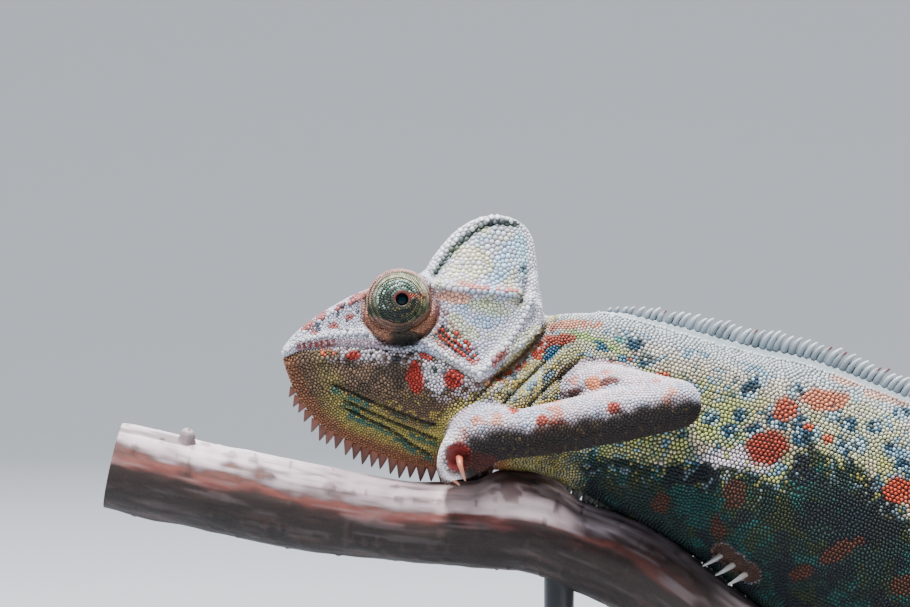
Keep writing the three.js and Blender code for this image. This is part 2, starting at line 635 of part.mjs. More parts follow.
addNode('head', cutBy(makeSkull(0), ...turretCutters), PALE_SKIN);
[['left', -1], ['right', 1]].forEach(([label, side]) => {
  addNode(`eye_turret_${label}`, makeTurret(side, 0), TURRET_SKIN);
  addNode(`eyeball_${label}`, makeEyeball(side), EYEBALL);
});

const spines = crest(throatTeeth, spineLength, { teeth: 22, root: 0.8, thick: 1.1, valley: 0.12 });
addNode('lower_jaw_and_throat',
  cutBy(makeThroat(0).add(spines), halfSpace(point(SNOUT.x + JAW_REAR, 0, 0), point(1, 0, 0)), skullCutter,
    footCutters[0].whole, legCutters[0].whole, perchCutter), THROAT_SKIN);

const comb = crest(combTeeth, combHeight, { teeth: 51, root: 1.4, thick: 1.1, valley: 0.55 });
const neckPlane = point(1, 0, -0.25).normalize();
const neckAt = point(NECK_REAR_X, 0, 140);
const tailStart = tailCurve();
const tailSpan = tailStart.getLength();
const rootShare = Math.hypot(...TAIL_RUN[0]) / tailSpan;
const rearAt = tailStart.getPointAt(rootShare);
const rearPlane = tailStart.getTangentAt(rootShare);
const body = cutBy(makeBody().add(comb), halfSpace(rearAt, rearPlane), skullCutter, perchCutter,
  ...legCutters.map((leg) => leg.whole), ...footCutters.map((foot) => foot.whole));
addNode('neck', cutBy(body, halfSpace(neckAt, neckPlane),
  halfSpace(point(SNOUT.x + JAW_REAR + GAP, 0, 0), point(-1, 0, 0))), FLANK_SKIN);
addNode('trunk', cutBy(body, halfSpace(neckAt.clone().addScaledVector(neckPlane, GAP),
  neckPlane.clone().negate())), FLANK_SKIN);

for (let i = 0; i + 1 < TAIL_CUTS.length; i++) {
  const from = rootShare + (1 - rootShare) * TAIL_CUTS[i];
  const to = rootShare + (1 - rootShare) * TAIL_CUTS[i + 1];
  addNode(`tail_${i + 1}`, tailLength(tailStart, from, to, i < 2 ? 10 : 8), FLANK_SKIN);
}

LEGS.forEach((leg, i) => {
  const { upper, lower, toEnd, end } = makeLeg(leg, 0);
  const foot = makeFoot(leg, 0);
  const cutter = footCutters[i];
  const wrist = end.clone().addScaledVector(toEnd, -1.5);
  addNode(`${leg.name}_upper`, upper, PALE_SKIN);
  addNode(`${leg.name}_lower`, cutBy(lower, halfSpace(wrist, toEnd), perchCutter, cutter.outer, cutter.inner),
    PALE_SKIN);
  const palmFront = wrist.clone().addScaledVector(toEnd, GAP);
  addNode(`${leg.foot}_palm`, cutBy(foot.palm, halfSpace(palmFront, toEnd.clone().negate()), perchCutter),
    PALE_SKIN);
  addNode(`${leg.foot}_outer_toes`, cutBy(foot.outer.flesh, cutter.palm, perchCutter), PALE_SKIN);
  addNode(`${leg.foot}_inner_toes`, cutBy(foot.inner.flesh, cutter.palm, cutter.outer, perchCutter),
    PALE_SKIN);
  ['outer', 'inner'].forEach((label) => foot[label].claws.forEach((claw, k) =>
    addNode(`${leg.foot}_${label}_claw_${k + 1}`, cutBy(claw, cutter[label], perchCutter), CLAW)));
});

addNode('perch', makePerch(0).add(makeTwigStub()), BARK);
addNode('stand_base', makeBase(), BASE_LACQUER);
ROD_X.forEach((x, i) => addNode(`stand_rod_${i === 0 ? 'front' : 'rear'}`, makeRod(x, perchCutter), STEEL));

const chameleon = new THREE.Group();
chameleon.add(...nodes);
export default chameleon;
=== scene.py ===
import bpy
import numpy as np
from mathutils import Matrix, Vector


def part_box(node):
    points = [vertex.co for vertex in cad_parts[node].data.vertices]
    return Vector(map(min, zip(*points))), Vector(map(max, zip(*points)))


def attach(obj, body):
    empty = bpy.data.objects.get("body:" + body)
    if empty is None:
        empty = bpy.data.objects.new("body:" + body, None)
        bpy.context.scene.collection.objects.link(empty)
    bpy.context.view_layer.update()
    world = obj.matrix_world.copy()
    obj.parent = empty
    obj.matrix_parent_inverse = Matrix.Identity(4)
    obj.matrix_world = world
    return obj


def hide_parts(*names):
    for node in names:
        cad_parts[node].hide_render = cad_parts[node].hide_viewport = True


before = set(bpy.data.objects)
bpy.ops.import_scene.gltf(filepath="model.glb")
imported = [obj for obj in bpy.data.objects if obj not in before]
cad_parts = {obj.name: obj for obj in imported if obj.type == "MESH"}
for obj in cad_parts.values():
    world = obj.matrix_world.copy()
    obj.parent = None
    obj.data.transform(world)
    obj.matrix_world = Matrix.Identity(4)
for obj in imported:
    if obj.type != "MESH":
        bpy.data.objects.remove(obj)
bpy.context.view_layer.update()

# ---------------------------------------------------------------------------------------------------------
# The studio. A pale card sweeps from under the stand up to a tall round wall, and soft lamps light it.
# The long lens stands level with the animal's neck, 0.8 m to its left.
# Lengths in this script are millimetres, and MM turns them to metres when a mesh is made.
MM = 0.001
CAMERA_PLACE = (-64.8, -800, 159.3)
LENS = 158.24  # on a film 36 wide
FLOOR_RADIUS = 5200
WALL_BEND = 1800
WALL_HEIGHT = 4200
CARD_SIDES = 72
CARD_COLOUR = (0.41, 0.435, 0.475, 1)

camera = bpy.data.objects.new("camera", bpy.data.cameras.new("camera"))
camera.data.sensor_width = 36
camera.data.lens = LENS
camera.data.clip_start = 0.05
camera.location = np.array(CAMERA_PLACE) * MM
camera.rotation_euler = (np.pi / 2, 0, 0)
bpy.context.scene.collection.objects.link(camera)
bpy.context.scene.camera = camera


def lamp(name, place, aim, size, power, colour=(1, 1, 1)):
    """A square soft lamp at a place, turned so that it faces the aim."""
    light = bpy.data.lights.new(name, "AREA")
    light.size = size * MM
    light.energy = power
    light.color = colour
    made = bpy.data.objects.new(name, light)
    made.location = np.array(place) * MM
    away = made.location - type(made.location)(np.array(aim) * MM)
    made.rotation_euler = away.to_track_quat("Z", "Y").to_euler()
    bpy.context.scene.collection.objects.link(made)


MIDDLE = (-30, 0, 130)
lamp("key_lamp", (-280, -400, 1400), MIDDLE, 260, 56, (1, 0.985, 0.96))
lamp("rear_lamp", (500, 620, 900), MIDDLE, 500, 6)
lamp("fill_lamp", (700, -1100, 300), MIDDLE, 1100, 1, (0.93, 0.96, 1))
lamp("card_lamp", (0, 900, 2600), (0, 2500, 0), 2400, 235)

world = bpy.data.worlds.new("studio_air")
world.use_nodes = True
world.node_tree.nodes["Background"].inputs["Color"].default_value = (0.80, 0.84, 0.90, 1)
world.node_tree.nodes["Background"].inputs["Strength"].default_value = 0.06
bpy.context.scene.world = world


def mesh_of(name, points, *faces):
    """A smooth mesh from points in millimetres and arrays of faces, one array for each face size."""
    mesh = bpy.data.meshes.new(name)
    mesh.vertices.add(len(points))
    mesh.vertices.foreach_set("co", (np.asarray(points) * MM).astype(np.float32).ravel())
    corners = np.concatenate([np.asarray(f).ravel() for f in faces]).astype(np.int32)
    sizes = np.concatenate([np.full(len(f), np.shape(f)[1]) for f in faces])
    mesh.loops.add(len(corners))
    mesh.loops.foreach_set("vertex_index", corners)
    mesh.polygons.add(len(sizes))
    mesh.polygons.foreach_set("loop_start", (np.cumsum(sizes) - sizes).astype(np.int32))
    mesh.update(calc_edges=True)
    mesh.shade_smooth()
    return mesh


def around(rings):
    """Quads between closed rings of points that follow each other: (rings, points on each, 3)."""
    count, sides = rings.shape[:2]
    a = np.arange((count - 1) * sides).reshape(count - 1, sides)
    b = np.roll(a, -1, axis=1)
    return np.stack([a, b, b + sides, a + sides], axis=-1).reshape(-1, 4)


def circle(sides):
    """The angles of evenly spaced points round a circle."""
    return np.arange(sides) / sides * 2 * np.pi


def lathe(profile, sides):
    """Rings of a profile of [radius, height] turned about the upright axis."""
    turn = circle(sides)
    ring = np.stack([np.cos(turn), np.sin(turn)], axis=-1)
    flat = np.array(profile)[:, None, :1] * ring[None]
    up = np.broadcast_to(np.array(profile)[:, None, 1:], flat.shape[:2] + (1,))
    return np.concatenate([flat, up], axis=-1)


def material_of(name, roughness, **sockets):
    """A material with one Principled shader; sockets are set straight on it. Returns it and its nodes."""
    made = bpy.data.materials.new(name)
    made.use_nodes = True
    shader = made.node_tree.nodes["Principled BSDF"]
    shader.inputs["Roughness"].default_value = roughness
    for socket, value in sockets.items():
        shader.inputs[socket.replace("_", " ")].default_value = value
    return made, made.node_tree, shader


bend = np.linspace(0, np.pi / 2, 14)
sweep = [[r, 0] for r in (1, 400, 1500, FLOOR_RADIUS - WALL_BEND)]
sweep += [[FLOOR_RADIUS - WALL_BEND * (1 - np.sin(a)), WALL_BEND * (1 - np.cos(a))] for a in bend[1:]]
sweep += [[FLOOR_RADIUS, WALL_HEIGHT]]
card_rings = lathe(sweep, CARD_SIDES)[:, ::-1]
card_points = np.vstack([card_rings.reshape(-1, 3), [[0, 0, 0]]])
hub = len(card_points) - 1
first = np.arange(CARD_SIDES)
card_fan = np.stack([np.full(CARD_SIDES, hub), np.roll(first, -1), first], axis=-1)
card_material, _, shader = material_of("pale_card", 0.9)
shader.inputs["Base Color"].default_value = CARD_COLOUR
card_mesh = mesh_of("card_sweep", card_points, around(card_rings), card_fan)
card_mesh.materials.append(card_material)
card = bpy.data.objects.new("card_sweep", card_mesh)
bpy.context.scene.collection.objects.link(card)

# ---------------------------------------------------------------------------------------------------------
# The stand: a board of dark lacquered wood with rounded corners and a small bevel, and two brushed steel
# rods in turned collars. The rods run up into holes in the branch.
BASE_BEVEL = 1.0
CORNER = 12
ROD_RADIUS = 3
COLLAR_RADIUS = 6.5
COLLAR_HEIGHT = 4


def srgb(code):
    """The linear colour of a hexadecimal display colour, as an array of three."""
    part = np.array([int(code[k:k + 2], 16) for k in (0, 2, 4)]) / 255
    return np.where(part <= 0.04045, part / 12.92, ((part + 0.055) / 1.055) ** 2.4)


def add_node(tree, kind, **values):
    """A new shader node of this kind, with some of its input sockets set."""
    made = tree.nodes.new("ShaderNode" + kind)
    for socket, value in values.items():
        made.inputs[socket.replace("_", " ")].default_value = value
    return made


def wire(tree, *pairs):
    """Links the first socket of each pair to the second."""
    for source, goal in pairs:
        tree.links.new(source, goal)


def streaked(tree, stretch, **values):
    """The strength of noise on object coordinates, stretched by a scale for each axis."""
    spread = add_node(tree, "TexCoord")
    squeezed = add_node(tree, "Mapping", Scale=stretch)
    grain = add_node(tree, "TexNoise", Scale=1, **values)
    wire(tree, (spread.outputs["Object"], squeezed.inputs["Vector"]),
         (squeezed.outputs["Vector"], grain.inputs["Vector"]))
    return grain.outputs["Fac"]


def box_of(node):
    """A node's lowest and highest corners in millimetres."""
    return [np.array(corner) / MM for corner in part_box(node)]


def piece(name, mesh, material, slot, *stands_for):
    """Adds a mesh to the model: its material, the body it rides on and the nodes it stands for."""
    made = bpy.data.objects.new(name, mesh)
    bpy.context.scene.collection.objects.link(made)
    mesh.materials.append(material)
    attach(made, "root")
    if stands_for:
        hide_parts(*stands_for)
    return made


def closed(rings):
    """Points and faces of a shell over rings of points, each end closed by a fan to its middle."""
    count, sides = rings.shape[:2]
    points = np.vstack([rings.reshape(-1, 3), rings[0].mean(0), rings[-1].mean(0)])
    near = np.arange(sides)
    far = near + (count - 1) * sides
    start = np.stack([np.full(sides, count * sides), np.roll(near, -1), near], axis=-1)
    end = np.stack([np.full(sides, count * sides + 1), far, np.roll(far, -1)], axis=-1)
    return points, around(rings), np.vstack([start, end])


def rounded_board(half_long, half_wide, corner, inset):
    """The outline of a board with round corners, moved inwards by the inset."""
    quarter = np.linspace(0, np.pi / 2, 10)
    arcs = []
    for k, (sx, sy) in enumerate([(1, 1), (-1, 1), (-1, -1), (1, -1)]):
        turn = quarter + k * np.pi / 2
        reach = corner - inset
        arcs.append(np.stack([sx * (half_long - corner) + reach * np.cos(turn),
                              sy * (half_wide - corner) + reach * np.sin(turn)], axis=-1))
    return np.concatenate(arcs)


low, high = box_of("stand_base")
half_long, half_wide = (high - low)[:2] / 2
turn = np.linspace(0, np.pi / 2, 6)
edge = [[0.4, 0], [0, 0.4], [0, high[2] - BASE_BEVEL]]
edge += [[BASE_BEVEL * (1 - np.cos(a)), high[2] - BASE_BEVEL * (1 - np.sin(a))] for a in turn[1:]]
board_rings = np.array([np.column_stack([rounded_board(half_long, half_wide, CORNER, inset),
                                         np.full(40, height)]) for inset, height in edge])
lacquer, tree, shader = material_of("dark_lacquered_wood", 0.32, Coat_Weight=0.35, Coat_Roughness=0.15)
grain = streaked(tree, (9, 160, 160), Detail=6, Distortion=0.6)
ramp = add_node(tree, "ValToRGB")
for stop, place, code in zip(ramp.color_ramp.elements, (0.35, 0.7), ("1f1a17", "3b322c")):
    stop.position = place
    stop.color = (*srgb(code), 1)
ridges = add_node(tree, "Bump", Strength=0.12, Distance=0.0002)
wire(tree, (grain, ramp.inputs["Fac"]), (ramp.outputs["Color"], shader.inputs["Base Color"]),
     (grain, ridges.inputs["Height"]), (ridges.outputs["Normal"], shader.inputs["Normal"]))
piece("stand_board", mesh_of("stand_board", *closed(board_rings)), lacquer, "base_lacquer", "stand_base")

steel, tree, shader = material_of("brushed_steel_rod", 0.3, Metallic=1.0)
shader.inputs["Base Color"].default_value = (*srgb("b4b7bb"), 1)
span = add_node(tree, "MapRange", To_Min=0.24, To_Max=0.42)
wire(tree, (streaked(tree, (300, 300, 6000), Detail=3), span.inputs["Value"]),
     (span.outputs["Result"], shader.inputs["Roughness"]))
for end in ("front", "rear"):
    low, high = box_of(f"stand_rod_{end}")
    foot = low[2]
    shoulder = foot + COLLAR_HEIGHT
    turn = np.linspace(0, np.pi / 2, 6)
    profile = [[ROD_RADIUS, foot - 0.3], [COLLAR_RADIUS - 0.2, foot - 0.3], [COLLAR_RADIUS, foot]]
    profile += [[COLLAR_RADIUS - 1.2 + 1.2 * np.cos(a), shoulder - 1.2 + 1.2 * np.sin(a)] for a in turn]
    profile += [[ROD_RADIUS + 0.4, shoulder], [ROD_RADIUS, shoulder + 0.5], [ROD_RADIUS, high[2]],
                [ROD_RADIUS - 0.4, high[2] + 0.4]]
    rings = lathe(profile, 40) + [*((low + high)[:2] / 2), 0]
    piece(f"stand_rod_{end}_steel", mesh_of(f"rod_{end}", *closed(rings)), steel, "rod_steel",
          f"stand_rod_{end}")

# ---------------------------------------------------------------------------------------------------------
# The perch: a short length sawn from a living branch. Thin bark lies in fine wrinkles along it, and both
# sawn ends show the pale wood's rings. Light and shade are painted into the bark: its top is pale and
# pinkish as painted light, and below that it turns red-brown and then near black as painted shade.
PERCH_LINE = [[-133, -1, 127], [-116, -1, 123.2], [-96, 0, 119], [-76, 0, 116], [-62, 0, 115],
              [-48, 0, 113.6], [-31, -1, 107.2], [-19, -2, 99.4], [-4, -2, 88.2], [14, 0, 76.8],
              [34, 1, 67.4], [54, 1, 59.4], [77, 0, 51.6]]
PERCH_RADIUS = 8.5
PERCH_LENGTH = 238
PERCH_SIDES = 110
TWIG_PLACE = -120  # a cut twig's stub stands on top of the branch here


def smooth_line(places, count):
    """Evenly spaced points on a curve through the places. Between b and c, with neighbours a and d, it is
    half of 2b + (c-a)t + (2a-5b+4c-d)t^2 + (3b-a-3c+d)t^3, for t from 0 to 1."""
    p = np.asarray(places, float)
    p = np.vstack([p[:1], p, p[-1:]])
    u = np.linspace(0, len(p) - 3, 30 * (len(p) - 3) + 1)
    i = np.minimum(u.astype(int), len(p) - 4)
    t = (u - i)[:, None]
    a, b, c, d = (p[i + k] for k in range(4))
    curve = b + 0.5 * ((c - a) * t + (2 * a - 5 * b + 4 * c - d) * t**2 + (3 * b - a - 3 * c + d) * t**3)
    run = np.r_[0, np.cumsum(np.linalg.norm(np.diff(curve, axis=0), axis=1))]
    at = np.linspace(0, run[-1], count)
    return np.column_stack([np.interp(at, run, curve[:, k]) for k in range(p.shape[1])])


def unit(vectors):
    """Vectors made one long."""
    return vectors / np.maximum(np.linalg.norm(vectors, axis=-1, keepdims=True), 1e-9)


def frames(line):
    """The direction of a line at each point, the level side direction and the one that points up from it."""
    along = unit(np.gradient(line, axis=0))
    side = unit(np.array([0, 1, 0]) - along * along[:, 1:2])
    return along, side, np.cross(along, side)


def tube(line, radius, sides, flat=1.0):
    """Rings along a line, with a half-thickness for each of its points. flat squeezes them sideways."""
    along, side, up = frames(line)
    turn = circle(sides)[None, :, None]
    size = np.broadcast_to(radius, (len(line),))[:, None, None]
    return line[:, None] + size * (np.cos(turn) * side[:, None] * flat + np.sin(turn) * up[:, None])


def noise(points, size, seed):
    """Values from 0 to 1 that change smoothly over this size: random numbers on a grid, blended between."""
    at = np.asarray(points) / size
    grid = np.floor(at).astype(np.int64)
    part = at - grid
    part = part * part * (3 - 2 * part)
    total = np.zeros(at.shape[:-1])
    for corner in np.ndindex(2, 2, 2):
        key = (grid + corner) @ np.array([374761393, 668265263, 2147483647]) + seed * 1274126177
        key = (key ^ (key >> 13)) * 1103515245
        key = (key ^ (key >> 16)) * 12345701
        share = np.prod(np.where(corner, part, 1 - part), axis=-1)
        total += share * ((key >> 8) & 0xFFFF) / 0xFFFF
    return total


def rough(points, size, seed, layers=3):
    """Noise of several sizes, each half as large and half as strong as the one before."""
    total = sum(noise(points, size / 2**k, seed + k) / 2**k for k in range(layers))
    return total / sum(0.5**k for k in range(layers))


def smooth_step(low, high, value):
    """0 below low, 1 above high, with a soft run between."""
    t = np.clip((value - low) / (high - low), 0, 1)
    return t * t * (3 - 2 * t)


def put_colours(mesh, colours):
    """Stores a linear colour for each point as the attribute "tint"."""
    layer = mesh.color_attributes.new("tint", "FLOAT_COLOR", "POINT")
    full = np.column_stack([np.clip(colours, 0, 1), np.ones(len(colours))])
    layer.data.foreach_set("color", full.astype(np.float32).ravel())


def tint_of(tree):
    """The output of a mesh's "tint" colours in its material."""
    made = add_node(tree, "Attribute")
    made.attribute_name = "tint"
    return made.outputs["Color"]


def mixed(colours, tint, share):
    """Colours blended towards a tint, an array or a code, by a share from 0 to 1 for each."""
    tint = srgb(tint) if isinstance(tint, str) else tint
    return colours + (tint - colours) * np.clip(share, 0, 1)[..., None]


def layered(code, shape, *layers):
    """Colours of this shape: one plain tint, with layers of [tint, share] blended over it in turn."""
    colours = np.broadcast_to(srgb(code), shape)
    for tint, share in layers:
        colours = mixed(colours, tint, share)
    return colours


perch_line = smooth_line(PERCH_LINE, 460)
perch_share = np.linspace(0, 1, len(perch_line))
perch_size = PERCH_RADIUS * (1 + 0.035 * np.sin(17 * perch_share) + 0.02 * np.sin(41 * perch_share + 1))
perch_rings = tube(perch_line, perch_size, PERCH_SIDES)
perch_along, perch_side, perch_up = frames(perch_line)
outward = unit(perch_rings - perch_line[:, None])
turn = circle(PERCH_SIDES)
unrolled = np.stack(np.broadcast_arrays(perch_share[:, None] * PERCH_LENGTH, np.cos(turn) * PERCH_RADIUS,
                                        np.sin(turn) * PERCH_RADIUS), axis=-1)
wrinkles = rough(unrolled * [0.14, 1, 1], 1.5, 11) - 0.5
lumps = rough(unrolled, 9, 21) - 0.5
pores = smooth_step(0.74, 0.86, noise(unrolled * [1, 0.55, 0.55], 1.3, 31))
scar = np.exp(-(((perch_rings[..., 0] + 50.5) / 8.5) ** 4)) * smooth_step(0.1, 0.75, outward[..., 2])
scar *= smooth_step(6, 2, perch_rings[..., 1])
bark_lift = 0.55 * wrinkles + 0.75 * lumps + 0.22 * pores
bark_lift += scar * (3.0 + 1.6 * (rough(unrolled * [0.6, 1, 1], 2.4, 61) - 0.5))
lift_fade = np.minimum(1, np.minimum(perch_share, 1 - perch_share) * 60)[:, None]
perch_rings += outward * (bark_lift * lift_fade)[..., None]
facing_up = outward[..., 2] + 0.5 * (rough(unrolled, 6, 41) - 0.5)
streaks = rough(unrolled * [0.1, 1, 1], 1.1, 81)
perch_x = perch_rings[..., 0]
# Painted light: where the raised left forefoot's shadow falls, the front top of the bark is painted pale
# pink to stand in for light.
painted_light_under_hand = smooth_step(-70, -65, perch_x) * smooth_step(-38, -46, perch_x)
# Painted shadow: the burr's top under the hand is painted dark, and the burr's pink stays on its front.
scar_top_painted_shade = smooth_step(0.66, 0.86, outward[..., 2]) * smooth_step(-44, -49, perch_x)
creases = smooth_step(0.54, 0.62, rough(unrolled * [0.5, 1, 1], 1.6, 91))
bark = layered(
    "291c19", perch_rings.shape,
    # Painted light and shade: the top is painted pale pinkish as if lit, paler still towards the end ahead
    # of the animal as a painted highlight. A red-brown band lies below it, and the underside is painted near
    # black as painted shade.
    ("b5a2ab", smooth_step(0.32, 0.7, facing_up + 0.7 * (streaks - 0.5))),
    ("cfc0c8", smooth_step(0.5, 0.85, facing_up) * smooth_step(-76, -112, perch_x)),
    ("7a403a", 0.85 * np.exp(-((facing_up - 0.24 + 0.6 * (streaks - 0.5)) / 0.14) ** 2)),
    ("120d0c", smooth_step(-0.1, -0.8, facing_up) * 0.8),
    # Painted shade: from about x = -40 on, the part of the branch under the animal is painted a darker
    # grey-brown.
    ("2a2423", 0.85 * smooth_step(-40, -14, perch_x)),
    ("c99a98", scar * (1 - scar_top_painted_shade) * smooth_step(-56, -53, perch_x)),
    ("241f1e", scar * scar_top_painted_shade * 0.9),
    ("f6dcdc", 0.9 * painted_light_under_hand * (1 - scar * scar_top_painted_shade)
     * smooth_step(0.2, 0.42, facing_up + 0.6 * (streaks - 0.5))),
    ("6a4442", 0.8 * scar * creases),
    ("3d2c29", 0.5 * pores + 0.75 * smooth_step(0.04, 0.26, -wrinkles)),
    ("8c7f82", 0.3 * smooth_step(0.56, 0.7, streaks) * smooth_step(-0.9, 0.2, facing_up)))
bark *= (0.72 + 0.5 * rough(unrolled, 3.2, 51))[..., None]


def sawn_end(rim, middle, seed):
    """Rings from the rim to the middle of a sawn end, and their colours: pale wood, darker year rings."""
    share = np.array([0.965, 0.94, 0.8, 0.66, 0.52, 0.38, 0.24, 0.1])
    rings = middle + (rim - middle) * share[:, None, None]
    wood = layered("c9ae86", rings.shape, ("9c7b55", (0.5 + 0.5 * np.sin(share * 60))[:, None]
                                           + 0.4 * (noise(rings, 0.9, seed) - 0.5)))
    wood[0] = srgb("6b4a3a")
    return rings, wood


start_rings, start_wood = sawn_end(perch_rings[0], perch_line[0], 5)
end_rings, end_wood = sawn_end(perch_rings[-1], perch_line[-1], 6)
all_rings = np.concatenate([start_rings[::-1], perch_rings, end_rings])
wood_points, wood_quads, wood_fans = closed(all_rings)
wood_colours = np.concatenate([start_wood[::-1], bark, end_wood]).reshape(-1, 3)
wood_colours = np.vstack([wood_colours, [srgb("7a5a3c")] * 2])

bark_material, tree, shader = material_of("thin_bark", 0.72)
grit = add_node(tree, "TexNoise", Scale=1900, Detail=5)
fine = add_node(tree, "Bump", Strength=0.12, Distance=0.00025)
span = add_node(tree, "MapRange", To_Min=0.55, To_Max=0.9)
wire(tree, (tint_of(tree), shader.inputs["Base Color"]),
     (add_node(tree, "TexCoord").outputs["Object"], grit.inputs["Vector"]),
     (grit.outputs["Fac"], fine.inputs["Height"]), (fine.outputs["Normal"], shader.inputs["Normal"]),
     (grit.outputs["Fac"], span.inputs["Value"]), (span.outputs["Result"], shader.inputs["Roughness"]))
perch_mesh = mesh_of("branch", wood_points, wood_quads, wood_fans)
put_colours(perch_mesh, wood_colours)
piece("branch", perch_mesh, bark_material, "bark", "perch")

twig_at = np.abs(perch_line[:, 0] - TWIG_PLACE).argmin()
twig_way = unit(perch_up[twig_at] - 0.35 * perch_side[twig_at])
twig_run = np.array([5, 7.4, 8.4, 9.2, 10, 10.6, 11, 10.9])
twig_line = perch_line[twig_at] + twig_run[:, None] * twig_way
twig_rings = tube(twig_line + [[0.02 * k, 0, 0] for k in range(8)],
                  np.array([4.2, 2.6, 1.9, 1.6, 1.5, 1.2, 0.7, 0.3]), 36)
twig_rings += unit(twig_rings - twig_line[:, None]) * (0.7 * (rough(twig_rings, 1.6, 61) - 0.5))[..., None]
twig_mesh = mesh_of("twig_stub", *closed(twig_rings))
put_colours(twig_mesh, layered("b3a6ad", (len(twig_mesh.vertices), 3),
                               ("5a4540", rough(closed(twig_rings)[0], 1.2, 71))))
piece("twig_stub", twig_mesh, bark_material, "bark")

# ---------------------------------------------------------------------------------------------------------
# The skin: one unbroken hide over the skull, throat, trunk, tail, legs and toes. It is cast in soft resin
# over the shaped body, with the lips, ridges, lids and folds modelled in it, and it carries the scales.
# Lines of the head are [distance behind the snout, height above it]; lines of the body are [x, z]. The eye
# turret's middle lies behind, above and beside the snout.
EYE = {"back": 23.8, "up": 9.6, "side": 6.9, "radius": 6.5}
CROWN_LINE = [[0, .4], [3.4, 4.3], [9.6, 8.6], [16.6, 12.2], [23.6, 14], [28.4, 15.9], [30.4, 19],
              [35.6, 24.5], [41.6, 27], [47.2, 26.2], [50.4, 22.8], [51.4, 17], [52, 11], [52.6, 6.2]]
MOUTH_LINE = [[.2, -1.5], [3.6, -.1], [11.8, .7], [22.6, .3], [28, 0], [33, -2.3], [38, -5.4]]
FLAP_EDGE = [[41.4, -3.4], [45.4, -1.4], [49.6, 1.2], [52, 4.6]]
THROAT_LINE = [[.4, -2.6], [2, -7], [4.4, -11.2], [8, -15.2], [13, -18.2], [20, -21.2], [27, -23.4],
               [34, -23.4], [43.5, -22.8]]
BACK_LINE = [[-58, 154], [-44, 157.2], [-33.6, 157], [-25.8, 155], [-6.8, 149.6], [7.2, 146.4],
             [25.8, 139.2], [36, 135], [46, 130], [57, 123.6], [68, 115.8], [80.4, 105.6]]
BELLY_LINE = [[-58, 126], [-48, 125], [-38, 120.6], [-27.2, 114.6], [-15, 107.4], [-4, 98.6], [6, 91.2],
              [17, 86.2], [30, 83], [44, 82.8], [54, 84.8], [64, 88.8], [73, 92.8]]
CREST_HALF_WIDTH = 1.15
TAIL_ROOT = (76, 99.4)
TAIL_RUN = [[-8, 5.2], [0, 0], [14, -9.4], [29, -18]]
TAIL_THICK = (7.3, 0.8)  # half of it, where the tail leaves the trunk and at its tip
TAIL_STEPS = 420
COIL = {"x": 112, "z": 56, "radius": 18, "turns": 1.75, "pitch": 8.7}
TOE_RADIUS = 1.6
TOE_OUT = PERCH_RADIUS + 0.3 + TOE_RADIUS  # from the branch's middle to a toe's
VOXEL = 0.62  # the grain at which the cast shells melt into one
SCALE_DEPTH = 0.34  # how far the hide lies inside the body's outline
MITTEN_ROUNDS = 60

low, high = box_of("head")
snout = np.array([low[0], 150])


def through(stations):
    """A smooth value through [place, value] stations: cubic pieces whose slopes are those of the chords."""
    place, value = np.array(stations, float).T
    slope = (np.r_[value[1:], value[-1]] - np.r_[value[0], value[:-1]])
    slope /= np.r_[place[1:], place[-1]] - np.r_[place[0], place[:-1]]

    def at(x):
        """The value at x, held at the first and last stations beyond them."""
        x = np.clip(x, place[0], place[-1])
        i = np.clip(np.searchsorted(place, x, side="right") - 1, 0, len(place) - 2)
        run = place[i + 1] - place[i]
        s = (x - place[i]) / run
        lift = s * s * (3 - 2 * s)
        bow = run * s * (1 - s) * (slope[i] * (1 - s) - slope[i + 1] * s)
        return value[i] + (value[i + 1] - value[i]) * lift + bow

    return at


lip_half_width = through([[0, 1.7], [2, 3.5], [5, 4.8], [11, 6.3], [18, 8.1], [25, 9.8], [32, 11.1],
                          [38, 11.6], [44, 10.6], [50, 8.8], [52.6, 7.4]])
brow_half_width = through([[0, 1.5], [3, 3], [10, 4.7], [17, 6.2], [24, 6.6], [30, 8.2], [38, 8.8],
                           [46, 7.6], [52.6, 5.4]])
brow_height = through([[0, -.2], [3, 3], [10, 7.8], [17, 11.2], [24, 13], [30, 13.6], [38, 12.6],
                       [46, 11.2], [52.6, 9]])
body_half_width = through([[-58, 9.6], [-50, 8.9], [-42, 8.9], [-33, 9.8], [-20, 11.4], [-6, 12.6],
                           [10, 13.4], [26, 12.8], [42, 11.2], [56, 9.4], [66, 7.9], [80, 6.6]])


def skull_half_width(x, z, share, top, bottom):
    """Lips to brow is a slightly hollow cheek, and brow to crown a hollow slope up to the thin crest."""
    back = x - snout[0]
    brow = np.minimum(snout[1] + brow_height(back), top - 0.4)
    up = np.clip((z - bottom) / np.maximum(brow - bottom, 0.1), 0, 1)
    cheek = lip_half_width(back) * (1 - up) + brow_half_width(back) * up
    cheek -= 0.9 * np.sin(np.pi * up) * smooth_step(8, 20, back)
    over = np.clip((z - brow) / np.maximum(top - brow, 0.4), 0, 1) ** 0.7
    slope = brow_half_width(back) * (1 - over) + CREST_HALF_WIDTH * over
    return np.where(z < brow, cheek, slope)


def throat_half_width(x, z, share, top, bottom):
    """Full under the lips, and narrowing in a round sweep to the keel of the chin."""
    return 0.9 + (lip_half_width(x - snout[0]) - 1.05) * (1 - (1 - share) ** 2.3)


def trunk_half_width(x, z, share, top, bottom):
    """Flat-sided, fullest below the middle, with a sharp back and a narrow rounded belly."""
    skew = share ** 0.82
    return 0.5 + (body_half_width(x) - 0.5) * (4 * skew * (1 - skew)) ** 0.66


